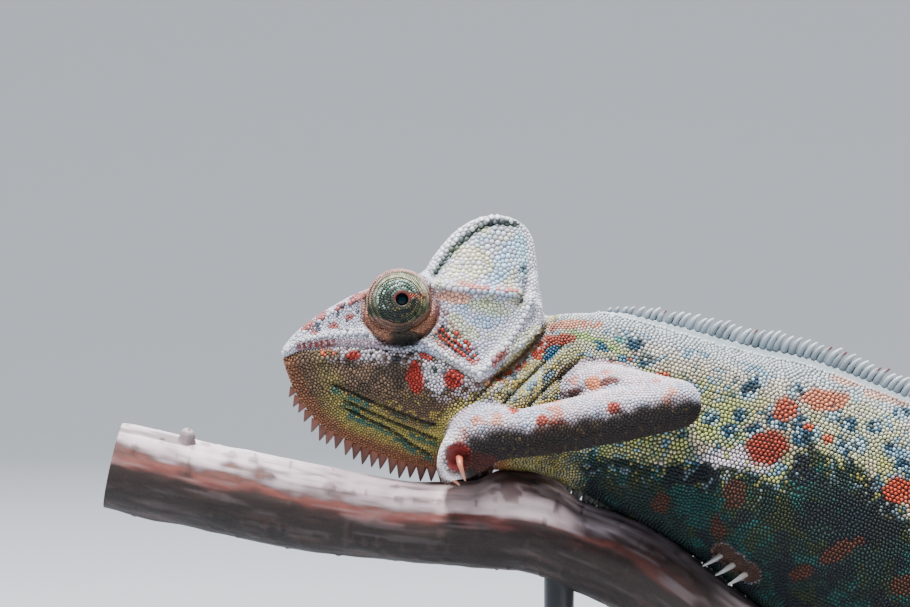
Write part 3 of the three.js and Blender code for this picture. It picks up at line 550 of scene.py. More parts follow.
def loft(upper, lower, shares, half_width):
    """Rings between an upper and a lower line of [x, z]. A point lies a share of the height above the lower
    line, and half_width moves it to both sides."""
    at = lower[:, None] + shares[None, :, None] * (upper - lower)[:, None]
    width = half_width(at[..., 0], at[..., 1], shares[None], upper[:, None, 1], lower[:, None, 1])
    near = np.stack([at[..., 0], -width, at[..., 1]], axis=-1)
    return np.concatenate([near, near[:, ::-1] * [1, -1, 1]], axis=1)


def from_snout(points):
    """How far points lie behind the snout, and how far above it."""
    return points[:, 0] - snout[0], points[:, 2] - snout[1]


def head_line(places, count, lift=0.0):
    """A line of [distance behind the snout, height above it] in the model's own x and z."""
    return smooth_line(np.array(places) + [0, lift], count) + snout


def capsule(line, radius):
    """Rings along a line with round ends: the ends' rings lie ahead by r sin a and are r cos a thick."""
    radius = np.broadcast_to(radius, (len(line),))
    bend = np.linspace(np.pi / 2 * 0.93, 0, 5)[:-1]
    ends = []
    for at, way, r in ((line[0], line[0] - line[1], radius[0]), (line[-1], line[-1] - line[-2], radius[-1])):
        ends.append((at + np.sin(bend)[:, None] * r * unit(way), r * np.cos(bend)))
    full = np.concatenate([ends[0][0], line, ends[1][0][::-1]])
    size = np.concatenate([ends[0][1], radius, ends[1][1][::-1]])
    return tube(full, size, 18)


def by_perch(x, ahead, angle, distance):
    """A point beside the branch: how far along it from x, the angle round it from straight up (below zero
    on the animal's left) and the distance out from its middle."""
    order = np.argsort(perch_line[:, 0])
    pick = lambda rows: np.array([np.interp(x, perch_line[order, 0], rows[order, k]) for k in range(3)])
    turn = np.radians(angle)
    return (pick(perch_line) + ahead * pick(perch_along)
            + distance * (np.cos(turn) * pick(perch_up) + np.sin(turn) * pick(perch_side)))


def grip(palm, reach, lift):
    """Places of a toe and its claw, as [ahead, angle, distance], for toes that close on the branch."""
    turn = np.sign(reach - palm)
    angle = lambda s: palm + (reach - palm) * s
    return {"toe": [[0, angle(0.12), PERCH_RADIUS + lift * 0.9], [0, angle(0.58), TOE_OUT + 0.9],
                    [0, reach, TOE_OUT]],
            "claw": [[0, reach + turn * 14, TOE_OUT + 0.2], [0, reach + turn * 24, PERCH_RADIUS + 0.8]],
            "pitch": [2.9, 0]}


# Each leg has its root, its elbow or knee and its wrist, its half-thickness along them, the place on the
# branch where its foot holds, and the palm, toes and claws as [ahead, angle, distance] round the branch.
# A pitch sets the toes of a bundle apart: ahead, and in degrees.
LEGS = [
    {"name": "foreleg_left", "foot": "forefoot_left", "root": [-37, -6.5, 141.5],
     "joint": [-21.5, -18, 139.6], "end": [-54, -13.6, 133.2], "thick": [6.2, 5, 5.2, 4.8], "x": -63,
     "palm": [-1.4, -38, 18], "palm_end": 5.2, "hump": [2, 0.9],
     "outer": {"count": 2, "toe": [[-1.4, -38, 17.8], [-5, -37, 16], [-4.2, -38, 12.8]],
               "claw": [[-2.9, -38, 10.9], [-1.4, -38, 9.5]], "pitch": [0, 11]},
     "inner": {"count": 3, "toe": [[0, -24, 14.4], [0, 12, 11.6], [0, 50, TOE_OUT]],
               "claw": [[0, 64, TOE_OUT + 0.2], [0, 74, PERCH_RADIUS + 0.8]], "pitch": [2.9, 0]}},
    {"name": "foreleg_right", "foot": "forefoot_right", "root": [-35, 6.8, 139], "joint": [-20, 19, 124],
     "end": [-8, 13.5, 111], "thick": [6, 4.9, 4.8, 4], "x": -16.6, "palm": [0, 48, 14.6], "palm_end": 3.4,
     "outer": {"count": 2, **grip(50, 100, 4)},
     "inner": {"count": 3, "toe": [[0, 38, 13.8], [0, 6, 15], [0, -22, 14]],
               "claw": [[-0.8, -28, 12], [-1.8, -32, 9.7]], "pitch": [3.1, 0]}},
    {"name": "hindleg_left", "foot": "hindfoot_left", "root": [56, -7.2, 99.5], "joint": [37, -20.5, 93],
     "end": [50, -12.4, 77], "thick": [6.6, 5.2, 5, 4.1], "x": 50, "palm": [0, -22, 12.2], "palm_end": 3.4,
     "outer": {"count": 3, **grip(-22, -80, 3.6)}, "inner": {"count": 2, **grip(-14, 62, 3.6)}},
    {"name": "hindleg_right", "foot": "hindfoot_right", "root": [55, 7.2, 99.5], "joint": [35, 21, 96],
     "end": [29, 13.5, 82.5], "thick": [6.6, 5.2, 5, 4.1], "x": 27, "palm": [0, 38, 12.2], "palm_end": 3.4,
     "outer": {"count": 3, **grip(40, 92, 3.6)}, "inner": {"count": 2, **grip(30, -44, 3.6)}},
]

# The tail's line: the run down from the trunk, then the turns of its flat coil.
coil_turn = np.linspace(0, COIL["turns"] * 2 * np.pi, 25)
coil_radius = COIL["radius"] - COIL["pitch"] * coil_turn / (2 * np.pi)
coil = np.column_stack([COIL["x"] + coil_radius * np.cos(np.pi / 4 - coil_turn), 2.5 * np.sin(coil_turn / 3),
                        COIL["z"] + coil_radius * np.sin(np.pi / 4 - coil_turn)])
run_down = np.array([[TAIL_ROOT[0] + x, 0, TAIL_ROOT[1] + z] for x, z in TAIL_RUN])
tail_line = smooth_line(np.vstack([run_down, coil]), TAIL_STEPS)
tail_size = TAIL_THICK[1] + (TAIL_THICK[0] - TAIL_THICK[1]) * (1 - np.linspace(0, 1, TAIL_STEPS)) ** 1.15

eased = (1 - np.cos(np.linspace(0, np.pi, 30))) / 2
crown, jaw_edge = head_line(CROWN_LINE, 110), head_line(MOUTH_LINE + FLAP_EDGE, 110)
back, belly = smooth_line(BACK_LINE, 260), smooth_line(BELLY_LINE, 260)
shells = [loft(crown, jaw_edge, np.linspace(0, 1, 48), skull_half_width),
          loft(head_line(MOUTH_LINE + [[43.5, -3.6]], 90, 0.8), head_line(THROAT_LINE, 90), eased,
               throat_half_width),
          loft(back, belly, eased, trunk_half_width), tube(tail_line, tail_size, 22, 0.88)]
limb_axes, toe_axes, claw_axes = [], [], []
for leg in LEGS:
    root, joint, end = (np.array(leg[k], float) for k in ("root", "joint", "end"))
    a, b, c, d = leg["thick"]
    share = np.linspace(0, 1, 16)
    for start, stop, thick, swell in ((root, joint, (a, b), 0.3), (joint, end, (c, d), 0.5)):
        line = start + share[:, None] * (stop - start)
        limb_axes.append((line, thick[0] + (thick[1] - thick[0]) * share + swell * np.sin(np.pi * share)))
    palm = by_perch(leg["x"], *leg["palm"])
    raised, swell = leg.get("hump", (0, 0))
    line = end + share[:, None] * (palm - end) + (4 * raised * share * (1 - share))[:, None] * [0, 0, 1]
    limb_axes.append((line, d + (leg["palm_end"] - d) * share + swell * np.sin(np.pi * share)))
    for label in ("outer", "inner"):
        bundle = leg[label]
        for k in range(bundle["count"]):
            step = k - (bundle["count"] - 1) / 2
            place = lambda way, s: by_perch(leg["x"], way[0] + step * bundle["pitch"][0] * s,
                                            way[1] + step * bundle["pitch"][1] * s, way[2])
            knots = [place(way, s) for way, s in zip(bundle["toe"], (0.6, 1, 1))]
            toe_axes.append((smooth_line(knots, 14), TOE_RADIUS + 0.6 * (1 - np.linspace(0, 1, 14))))
            hooks = [knots[2]] + [place(way, 1) for way in bundle["claw"]]
            claw_axes.append((f"{leg['foot']}_{label}_claw_{k + 1}", smooth_line(hooks, 14)))
shells += [capsule(line, size) for line, size in limb_axes + toe_axes]

# The smooth band that the spikes of the back stand on.
band = back[38:]
band_top = through([[-40, 0.4], [-30, 1.4], [-18, 2], [20, 2], [60, 1.1], [80, .6]])(band[:, 0])
shells.append(loft(band + [0, 1] * band_top[:, None], band - [0, 2.5], np.linspace(0, 1, 6),
                   lambda x, z, share, top, bottom: 0.75 + 0.35 * (1 - share) + 0 * x))

cast_points, cast_quads, cast_fans, base_index = [], [], [], 0
for rings in shells:
    points, quads, fans = closed(rings)
    cast_points.append(points)
    cast_quads.append(quads + base_index)
    cast_fans.append(fans + base_index)
    base_index += len(points)
cast = bpy.data.objects.new("cast", mesh_of("cast", np.vstack(cast_points), np.vstack(cast_quads),
                                            np.vstack(cast_fans)))
bpy.context.scene.collection.objects.link(cast)
melt = cast.modifiers.new("melt", "REMESH")
melt.mode = "VOXEL"
melt.voxel_size = VOXEL * MM
ease = cast.modifiers.new("ease", "SMOOTH")
ease.factor = 0.5
ease.iterations = 6
skin_mesh = bpy.data.meshes.new_from_object(cast.evaluated_get(bpy.context.evaluated_depsgraph_get()))
bpy.data.objects.remove(cast)


def read_all(parts, name, width, kind=np.int32):
    """One property of all the points, edges or faces of a mesh, as an array this many columns wide."""
    flat = np.empty(len(parts) * width, kind)
    parts.foreach_get(name, flat)
    return flat.reshape(-1, width)


def points_of(mesh):
    """A mesh's points in millimetres."""
    return read_all(mesh.vertices, "co", 3, np.float32).astype(float) / MM


def normals_of(mesh):
    """A mesh's smooth normals."""
    return read_all(mesh.vertex_normals, "vector", 3, np.float32).astype(float)


def move_points(mesh, points):
    """Puts a mesh's points at new places, in millimetres."""
    mesh.vertices.foreach_set("co", (points * MM).astype(np.float32).ravel())
    mesh.update()


def largest_shell(mesh):
    """The mesh's largest joined shell: each point takes the lowest number found along its edges, over and
    over until none changes, and the points that share the commonest number stay."""
    first, second = read_all(mesh.edges, "vertices", 2).T
    label = np.arange(len(mesh.vertices))
    settled = False
    while not settled:
        lowest = label.copy()
        np.minimum.at(lowest, first, label[second])
        np.minimum.at(lowest, second, label[first])
        lowest = lowest[lowest]
        settled = np.array_equal(lowest, label)
        label = lowest
    stays = label == np.argmax(np.bincount(label))
    quads = read_all(mesh.loops, "vertex_index", 1).reshape(-1, 4)
    quads = quads[stays[quads[:, 0]]]
    return mesh_of("skin", points_of(mesh)[stays], (np.cumsum(stays) - 1)[quads])


# A closed bubble is left inside the body where the shells don't meet, and only the outer shell is wanted.
skin_mesh = largest_shell(skin_mesh)


def limb_gap(points, axes):
    """How far points lie outside the nearest of some limbs: the distance to its line, less its radius."""
    best = np.full(len(points), 1e9)
    for line, radius in axes:
        away = np.linalg.norm(points[:, None] - line[None], axis=-1)
        nearest = away.argmin(axis=1)
        gap = away[np.arange(len(points)), nearest] - np.broadcast_to(radius, len(line))[nearest]
        best = np.minimum(best, gap)
    return best


def height_on(line, x):
    """The height of a line of [x, z] places at x."""
    return np.interp(x, *np.asarray(line).T)


def distance_to(line, x, z):
    """How far places in the side plane lie from a line of points: the nearest of its straight runs."""
    best = np.full(np.shape(x), 1e9)
    for (ax, az), (bx, bz) in zip(line[:-1], line[1:]):
        run = (bx - ax) ** 2 + (bz - az) ** 2
        share = np.clip(((x - ax) * (bx - ax) + (z - az) * (bz - az)) / run, 0, 1)
        best = np.minimum(best, np.hypot(x - ax - share * (bx - ax), z - az - share * (bz - az)))
    return best


def bell(distance, width):
    """1 on a line or at a point, falling to 0 in a round sweep over this width."""
    return np.exp(-((distance / width) ** 2))


# Ridges and grooves of the head, throat and neck, as [distance behind the snout, height above it], with
# their width and how far they stand out of the skin or sink into it.
LIP_RIDGE = [[.5, -.6], [3.8, 1.7], [8, 2.9], [13.8, 3.5], [22, 3.2], [27, 2.4]]
CHEEK_RIDGE = [[26.8, 3.2], [31, .4], [34.6, -1.8], [38.4, -4]]
LATERAL_CREST = [[30.8, 13.2], [36.6, 12], [47.6, 11.2]]
CANTHUS = [[2.4, 2.6], [9, 7.2], [14, 10], [17.4, 11.6]]
REAR_RIDGE = [[50.2, 14], [49.8, 9.4], [46.8, 3.8], [43.6, -.4], [39.6, -4.6]]
CASQUE_GROOVE = [[30.8, 15.2], [35, 20.6], [41.2, 25], [47, 25]]
PLEATS = [[[10.6, -6.8], [18, -10], [26, -13.2], [31, -14.8]],
          [[12.8, -10], [20.2, -13.2], [26, -15.6], [31, -17.6]],
          [[13, -11.6], [21.6, -15.6], [26, -18.6], [29.6, -20.6]]]
NECK_FOLDS = [[[34.8, -13.4], [40, -8.4], [46.2, -2.6], [52.4, 3.4]],
              [[37.8, -18], [44.8, -10], [51.8, -3], [56.4, 1.4]],
              [[43.8, -18], [49, -11.4], [55, -5.4], [60.2, -1.2]]]
SHOULDER_FOLD = [[55.7, -6.6], [56, -5.1], [57.6, -3.7], [60, -2.7], [62.6, -2.9], [66, -3.1]]
FLAP_GAP = [[39, -6.6], [43, -4.9], [47, -2.1], [50.6, 1.2], [53, 5]]
LOWER_LIP = [[1.4, -2.7], [12, -1], [23, -1.4], [33, -4.2], [37, -6.6]]
HEAD_FORMS = [(LIP_RIDGE, 0.8, 0.55), (CHEEK_RIDGE, 0.9, 0.7), (LATERAL_CREST, 1.0, 0.6),
              (CANTHUS, 0.9, 0.4), (REAR_RIDGE, 1.1, 0.8), (CASQUE_GROOVE, 0.65, -0.7),
              ([[48.4, 16], [48.9, 12.4], [48, 9.6]], .7, -.7), (MOUTH_LINE, 0.5, -0.75),
              (LOWER_LIP, 0.6, 0.3),
              (FLAP_GAP, 0.6, -0.45), (SHOULDER_FOLD, 0.6, -1.1),
              (np.array(SHOULDER_FOLD) + [0, 1.3], 0.7, 0.6)]
HEAD_FORMS += [(line, 0.5, -0.5) for line in PLEATS] + [(line, 0.55, -0.8) for line in NECK_FOLDS]
HEAD_FORMS += [(np.array(line) + [1.2, -1.2], 0.8, 0.45) for line in NECK_FOLDS]

skin = points_of(skin_mesh)

# The left forefoot is one smooth mitten: its fused toes are eased together, each point towards the mean of
# its neighbours, many times over.
one, other = read_all(skin_mesh.edges, "vertices", 2).T
neighbours = np.bincount(np.r_[one, other], minlength=len(skin))[:, None]
mitten = (smooth_step(-44, -50, skin[:, 0]) * smooth_step(-76, -72, skin[:, 0])
          * smooth_step(-5, -8, skin[:, 1]) * smooth_step(123, 126, skin[:, 2])
          * smooth_step(146, 142, skin[:, 2]))[:, None]
for step in range(MITTEN_ROUNDS):
    total = [np.bincount(one, skin[other, k], len(skin)) + np.bincount(other, skin[one, k], len(skin))
             for k in range(3)]
    skin += 0.5 * mitten * (np.column_stack(total) / neighbours - skin)
move_points(skin_mesh, skin)
skin_normals = normals_of(skin_mesh)
skin += 0.35 * mitten * skin_normals
head_back, head_up = from_snout(skin)
sideways = smooth_step(0.15, 0.45, np.abs(skin_normals[:, 1]))
lift = np.zeros(len(skin))
arm_gap = limb_gap(skin, limb_axes + toe_axes)
off_limb = smooth_step(0.4, 1.6, arm_gap)
for line, width, height in HEAD_FORMS:
    run = smooth_line(line, 16)
    lift += height * bell(distance_to(run, head_back, head_up), width) * sideways * off_limb

# Round the eye: a rolled rim, a groove outside it, slack folds below, and a pocket under those.
eye_gap = np.hypot(head_back - EYE["back"], head_up - EYE["up"])
under = smooth_step(1, -6, head_up - EYE["up"])
folds = 1.7 * bell(eye_gap - 6.4, 0.7) + 0.6 * bell(eye_gap - 9.2, 0.6)
lift += sideways * (head_up > -2.5) * (0.8 * bell(eye_gap - 7.1, 0.45) - 0.5 * bell(eye_gap - 8.2, 0.6)
                                       + under * folds)
lift -= 1.2 * bell(np.hypot((head_back - 25) / 2.8, (head_up - 2.2) / 1.0), 1) * sideways
# Slanting wrinkles between the eye and the corner of the jaw.
cross = (head_back - 33) * 0.62 + (head_up - 1.5) * 0.78
lift += 0.28 * np.sin(cross * 2 * np.pi / 1.25) * sideways * bell(
    (head_back - 34) * 0.78 - (head_up - 2) * 0.62, 4) * bell(cross, 2.6)
# The hollow sole between the left forefoot's toe bundles, with its swollen rim, and its wrist's wrinkles.
sole = np.array([-64.4, 128.9])
sole_gap = np.hypot(skin[:, 0] - sole[0], skin[:, 2] - sole[1])
left_hand = (skin[:, 1] < -6) & (skin[:, 0] < -40) & (skin[:, 2] > 120) & (skin[:, 2] < 142)
lift += left_hand * (0.5 * bell(sole_gap - 2.9, 0.7) - 2.4 * bell(sole_gap, 1.9))
lift += left_hand * 0.12 * np.sin(skin[:, 0] * 2 * np.pi / 1.5) * bell(skin[:, 0] + 52, 6)
lift += 0.16 * (rough(skin, 5, 101) - 0.5)
skin += skin_normals * (lift - SCALE_DEPTH)[:, None]
move_points(skin_mesh, skin)
skin_normals = normals_of(skin_mesh)

# ---------------------------------------------------------------------------------------------------------
# The coat: some tens of thousands of scales, each a low dome of resin that fills its place between its
# neighbours. They are small on the face, throat and feet, larger on the casque, and beads on the flanks.
HEX = np.sqrt(3) / 2  # the distance between rows of a close packing, in steps along a row
SPREAD_ROUNDS = 26
SPREAD = 1.22  # neighbours push apart up to this many pitches
PUSH = 0.55
LONGEST_STEP = 0.35  # of the pitch
ROW_PULL = 0.22


def near_pairs(points, reach):
    """All pairs closer than the reach, as two arrays sorted by the first. The points are sorted into cubes
    of that size, and each is set against those in its own cube and the 26 round it."""
    cell = np.floor(points / reach).astype(np.int64) + 500
    key = (cell[:, 0] * 2048 + cell[:, 1]) * 2048 + cell[:, 2]
    order = np.argsort(key, kind="stable")
    ranked = key[order]
    firsts, seconds = [], []
    for offset in np.ndindex(3, 3, 3):
        wanted = key + ((offset[0] - 1) * 2048 + offset[1] - 1) * 2048 + offset[2] - 1
        start = np.searchsorted(ranked, wanted, "left")
        count = np.searchsorted(ranked, wanted, "right") - start
        i = np.repeat(np.arange(len(points)), count)
        j = order[np.arange(count.sum()) - np.repeat(np.cumsum(count) - count - start, count)]
        near = (np.sum((points[i] - points[j]) ** 2, axis=1) < reach**2) & (i != j)
        firsts.append(i[near])
        seconds.append(j[near])
    i, j = np.concatenate(firsts), np.concatenate(seconds)
    order = np.argsort(i, kind="stable")
    return i[order], j[order]


def snapped(points, target, lift=0.0):
    """The nearest places on a mesh to some points, lifted off its surface."""
    probe = bpy.data.objects.new("probe", bpy.data.meshes.new("probe"))
    probe.data.vertices.add(len(points))
    move_points(probe.data, points)
    bpy.context.scene.collection.objects.link(probe)
    wrap = probe.modifiers.new("wrap", "SHRINKWRAP")
    wrap.target = target
    wrap.wrap_method = "NEAREST_SURFACEPOINT"
    wrap.wrap_mode = "ABOVE_SURFACE" if lift else "ON_SURFACE"
    wrap.offset = lift * MM
    found = points_of(probe.evaluated_get(bpy.context.evaluated_depsgraph_get()).data)
    bpy.data.objects.remove(probe)
    return found


# Painted shade on the flank begins along this line of [x, z]. Below it the hide is painted deep teal, olive
# and navy, partly its own darker colour and partly painted shade.
FLANK_SHADE_EDGE = [[-60, 131], [-40, 129.5], [-20, 127.8], [-12, 126.4], [-4, 124.6], [-0.5, 124.4], [2.6, 129],
              [5.4, 131.4], [8.4, 129.6], [12, 128.8], [16, 125.6], [20, 122], [26, 116.5], [34, 112],
              [50, 104], [66, 98], [80, 90]]


def pitch_at(points, near_limb, near_toe):
    """The distance between scales: from the flank's beads down to the finest on the throat and toes."""
    back, up = from_snout(points)
    mouth = height_on(MOUTH_LINE + [[46, -9], [60, -12]], back)
    casque = smooth_step(8, 16, up) * smooth_step(28, 34, back)
    head = 0.62 + 0.16 * smooth_step(10, 30, back) + 0.28 * casque
    throat = 0.74 - 0.2 * smooth_step(-4, -12, up - mouth)
    pitch = np.where(up > mouth, head, throat)
    body = 0.66 + 0.22 * smooth_step(-46, -24, points[:, 0]) - 0.12 * smooth_step(60, 84, points[:, 0])
    body = body - 0.11 * smooth_step(-40, -20, points[:, 0]) * smooth_step(
        2, -4, points[:, 2] - height_on(FLANK_SHADE_EDGE, points[:, 0]))
    pitch = pitch + (body - pitch) * smooth_step(44, 52, back - 0.25 * np.minimum(up, 0))
    in_coil = np.hypot(points[:, 0] - COIL["x"], points[:, 2] - COIL["z"])
    tail = np.interp(in_coil, [0, 16, 24], [.5, .62, .8])
    pitch = np.where(points[:, 0] > 90, tail, pitch)
    pitch = pitch + (0.74 - pitch) * smooth_step(1.2, 0.3, near_limb)
    eye = np.hypot(back - EYE["back"], up - EYE["up"])
    pitch = pitch + (0.5 - pitch) * smooth_step(9.4, 8.0, eye) * (np.abs(points[:, 1]) > 4)
    return pitch + (0.54 - pitch) * smooth_step(1.0, 0.3, near_toe)


skin_object = bpy.data.objects.new("skin", skin_mesh)
bpy.context.scene.collection.objects.link(skin_object)
skin_mesh.calc_loop_triangles()
corners = read_all(skin_mesh.loop_triangles, "vertices", 3)
near_limb = limb_gap(skin, limb_axes)
near_toe = limb_gap(skin, toe_axes)
skin_pitch = pitch_at(skin, near_limb, near_toe)

# A first scatter, as thick as the packing needs, on the skin's triangles.
random = np.random.default_rng(7)
a, b, c = (skin[corners[:, k]] for k in range(3))
area = np.linalg.norm(np.cross(b - a, c - a), axis=1) / 2
wanted = area / (HEX * skin_pitch[corners].mean(axis=1) ** 2)
running = np.cumsum(wanted)
count = int(running[-1])
picked = np.searchsorted(running, random.random(count) * running[-1])
u, v = random.random((2, count))
fold = u + v > 1
u, v = np.where(fold, 1 - u, u)[:, None], np.where(fold, 1 - v, v)[:, None]
roots = a[picked] + u * (b - a)[picked] + v * (c - a)[picked]
scale_pitch = skin_pitch[corners[picked]].mean(axis=1)
on_face = smooth_step(-44, -50, roots[:, 0])
scale_pitch *= 1 + (0.06 + 0.21 * on_face) * random.uniform(-1, 1, count)

# Rows of larger plates on the lips, ridges and the casque's rim come first, and stay where they are.
ROWS = [(LIP_RIDGE, 1.15), (CHEEK_RIDGE, 1.15), (LATERAL_CREST, 1.3), (CANTHUS, 1.15), (REAR_RIDGE, 1.3),
        ([[1.4, -2.9], [12, -1.2], [23, -1.6], [33, -4.4], [37, -6.8]], 1.0)]
row_places, row_pitch = [], []
for line, step in ROWS:
    run = smooth_line(line, 60)
    length = np.linalg.norm(np.diff(run, axis=0), axis=1).sum()
    run = smooth_line(line, int(length / step) + 1)
    for side in (-1, 1):
        row_places.append(np.column_stack([run[:, 0] + snout[0], np.full(len(run), side * 12.0),
                                           run[:, 1] + snout[1]]))
        row_pitch.append(np.full(len(run), step))
row_places, row_pitch = np.vstack(row_places), np.concatenate(row_pitch)
row_places[:, 1] = np.sign(row_places[:, 1]) * lip_half_width(row_places[:, 0] - snout[0])
row_roots = snapped(row_places, skin_object)
fixed = len(row_roots)
roots = np.vstack([row_roots, roots])
scale_pitch = np.concatenate([row_pitch, scale_pitch])


def row_pull(points):
    """The step that takes each point to the middle of its row. Rows follow the back's line on the trunk
    and the chin's line on the throat."""
    step = np.zeros_like(points)
    x, z = points[:, 0], points[:, 2]
    for line, inside in ((back[::6], (x > -34) & (x < 76) & (near_limb_roots > 1)),
                         (throat_edge, (x < -58) & (z < 143) & (near_limb_roots > 1))):
        at = np.flatnonzero(inside)
        away = distance_to(line, x[at], z[at])
        probe = 0.05
        slope = np.stack([distance_to(line, x[at] + probe, z[at]) - away, 0 * away,
                          distance_to(line, x[at], z[at] + probe) - away], axis=-1)
        row = HEX * np.round(np.median(scale_pitch[at]), 2)
        step[at] = unit(slope) * ((np.round(away / row) - away / row) * row)[:, None]
    return step


throat_edge = head_line(THROAT_LINE, 30)
near_limb_roots = limb_gap(roots, limb_axes + toe_axes)
for step in range(SPREAD_ROUNDS):
    if step % 3 == 0:
        i, j = near_pairs(roots, 2.1)
        close = (scale_pitch[i] + scale_pitch[j]) / 2
        keep = np.linalg.norm(roots[i] - roots[j], axis=1) < 1.75 * close
        i, j, close = i[keep], j[keep], close[keep] * SPREAD
    apart = roots[i] - roots[j]
    gap = np.linalg.norm(apart, axis=1)
    push = np.clip(1 - gap / close, 0, 1) ** 1.5 * close / np.maximum(gap, 0.01)
    force = np.column_stack([np.bincount(i, push * apart[:, k], len(roots)) for k in range(3)])
    force *= PUSH
    size = np.linalg.norm(force, axis=1)
    force *= np.minimum(1, LONGEST_STEP * scale_pitch / np.maximum(size, 1e-6))[:, None]
    force += ROW_PULL * row_pull(roots)
    force[:fixed] = 0
    roots = snapped(roots + force, skin_object)
tops = snapped(roots, skin_object, 1.0)
normals = unit(tops - roots)

# Scales under the turrets, inside the branch, on the back's smooth band or in the sole are left out.
perch_gap = limb_gap(roots, [(perch_line[::4], perch_size[::4])])
turret_gap = np.minimum(*(np.linalg.norm(roots - [snout[0] + EYE["back"], side * EYE["side"],
                                                  snout[1] + EYE["up"]], axis=1) for side in (-1, 1)))
on_band = ((roots[:, 2] > height_on(back, roots[:, 0]) + 0.1) & (np.abs(roots[:, 1]) < 1.6)
           & (roots[:, 0] > -36) & (roots[:, 0] < 74))
in_sole = (np.hypot(roots[:, 0] - sole[0], roots[:, 2] - sole[1]) < 2.3) & (roots[:, 1] < -9)
keep = (perch_gap > 0.15) & (turret_gap > EYE["radius"] - 0.1) & ~on_band & ~in_sole
roots, normals, scale_pitch = roots[keep], normals[keep], scale_pitch[keep]


def domes(roots, normals, pitch, height, directions, shoulder=(0.62, 0.8), gap=0.95, widest=0.62):
    """A low dome on each root. Its outline keeps halfway to the neighbours, shared by their sizes, and
    never runs further than the widest share of the pitch. Inside it lies one ring, at the shoulder's
    shares of the way out and of the height, and then the top. Returns points and triangles."""
    first = unit(np.cross(normals, [0.05, 0.02, 1.0]))
    second = np.cross(normals, first)
    i, j = near_pairs(roots, 1.9 * pitch.max())
    apart = roots[j] - roots[i]
    flat_x, flat_y = np.sum(apart * first[i], axis=1), np.sum(apart * second[i], axis=1)
    gap_ij = np.hypot(flat_x, flat_y)
    same_side = np.sum(normals[i] * normals[j], axis=1) > 0.2
    keep = (np.linalg.norm(apart, axis=1) < 1.9 * (pitch[i] + pitch[j]) / 2) & same_side & (gap_ij > 0.05)
    i, flat_x, flat_y, gap_ij = i[keep], flat_x[keep], flat_y[keep], gap_ij[keep]
    half = gap_ij * pitch[i] / (pitch[i] + pitch[j[keep]])
    turn = circle(directions)
    reach = np.broadcast_to((widest * pitch)[:, None], (len(roots), directions)).copy()
    starts = np.flatnonzero(np.r_[True, np.diff(i) > 0])
    for k, angle in enumerate(turn):
        facing = (flat_x * np.cos(angle) + flat_y * np.sin(angle)) / gap_ij
        limit = np.where(facing > 0.3, half / np.maximum(facing, 0.3), 1e9)
        reach[i[starts], k] = np.minimum(reach[i[starts], k], np.minimum.reduceat(limit, starts))
    reach *= gap
    way = np.cos(turn)[None, :, None] * first[:, None] + np.sin(turn)[None, :, None] * second[:, None]
    up = normals[:, None] * height[:, None, None]
    rim = roots[:, None] + way * reach[..., None] - 0.18 * up
    ring = roots[:, None] + way * (reach * shoulder[0])[..., None] + shoulder[1] * up
    top = roots[:, None] + up
    points = np.concatenate([top, ring, rim], axis=1)
    near = np.arange(directions)
    after = np.roll(near, -1)
    fan = np.stack([0 * near, 1 + near, 1 + after], axis=-1)
    wall = np.concatenate([np.stack([1 + near, 1 + directions + near, 1 + directions + after], axis=-1),
                           np.stack([1 + near, 1 + directions + after, 1 + after], axis=-1)])
    one = np.vstack([fan, wall])
    faces = (np.arange(len(roots)) * points.shape[1])[:, None, None] + one
    return points, faces.reshape(-1, 3)


def uneven(points, size, seed, low, high):
    """A mask with ragged edges: 1 where layered noise of this size is above high, 0 below low."""
    return smooth_step(low, high, rough(points, size, seed))


def mouth_height(back):
    """The height of the mouth's line, carried on behind its corner, at places behind the snout."""
    return height_on(MOUTH_LINE + [[46, -8], [60, -10]], back)


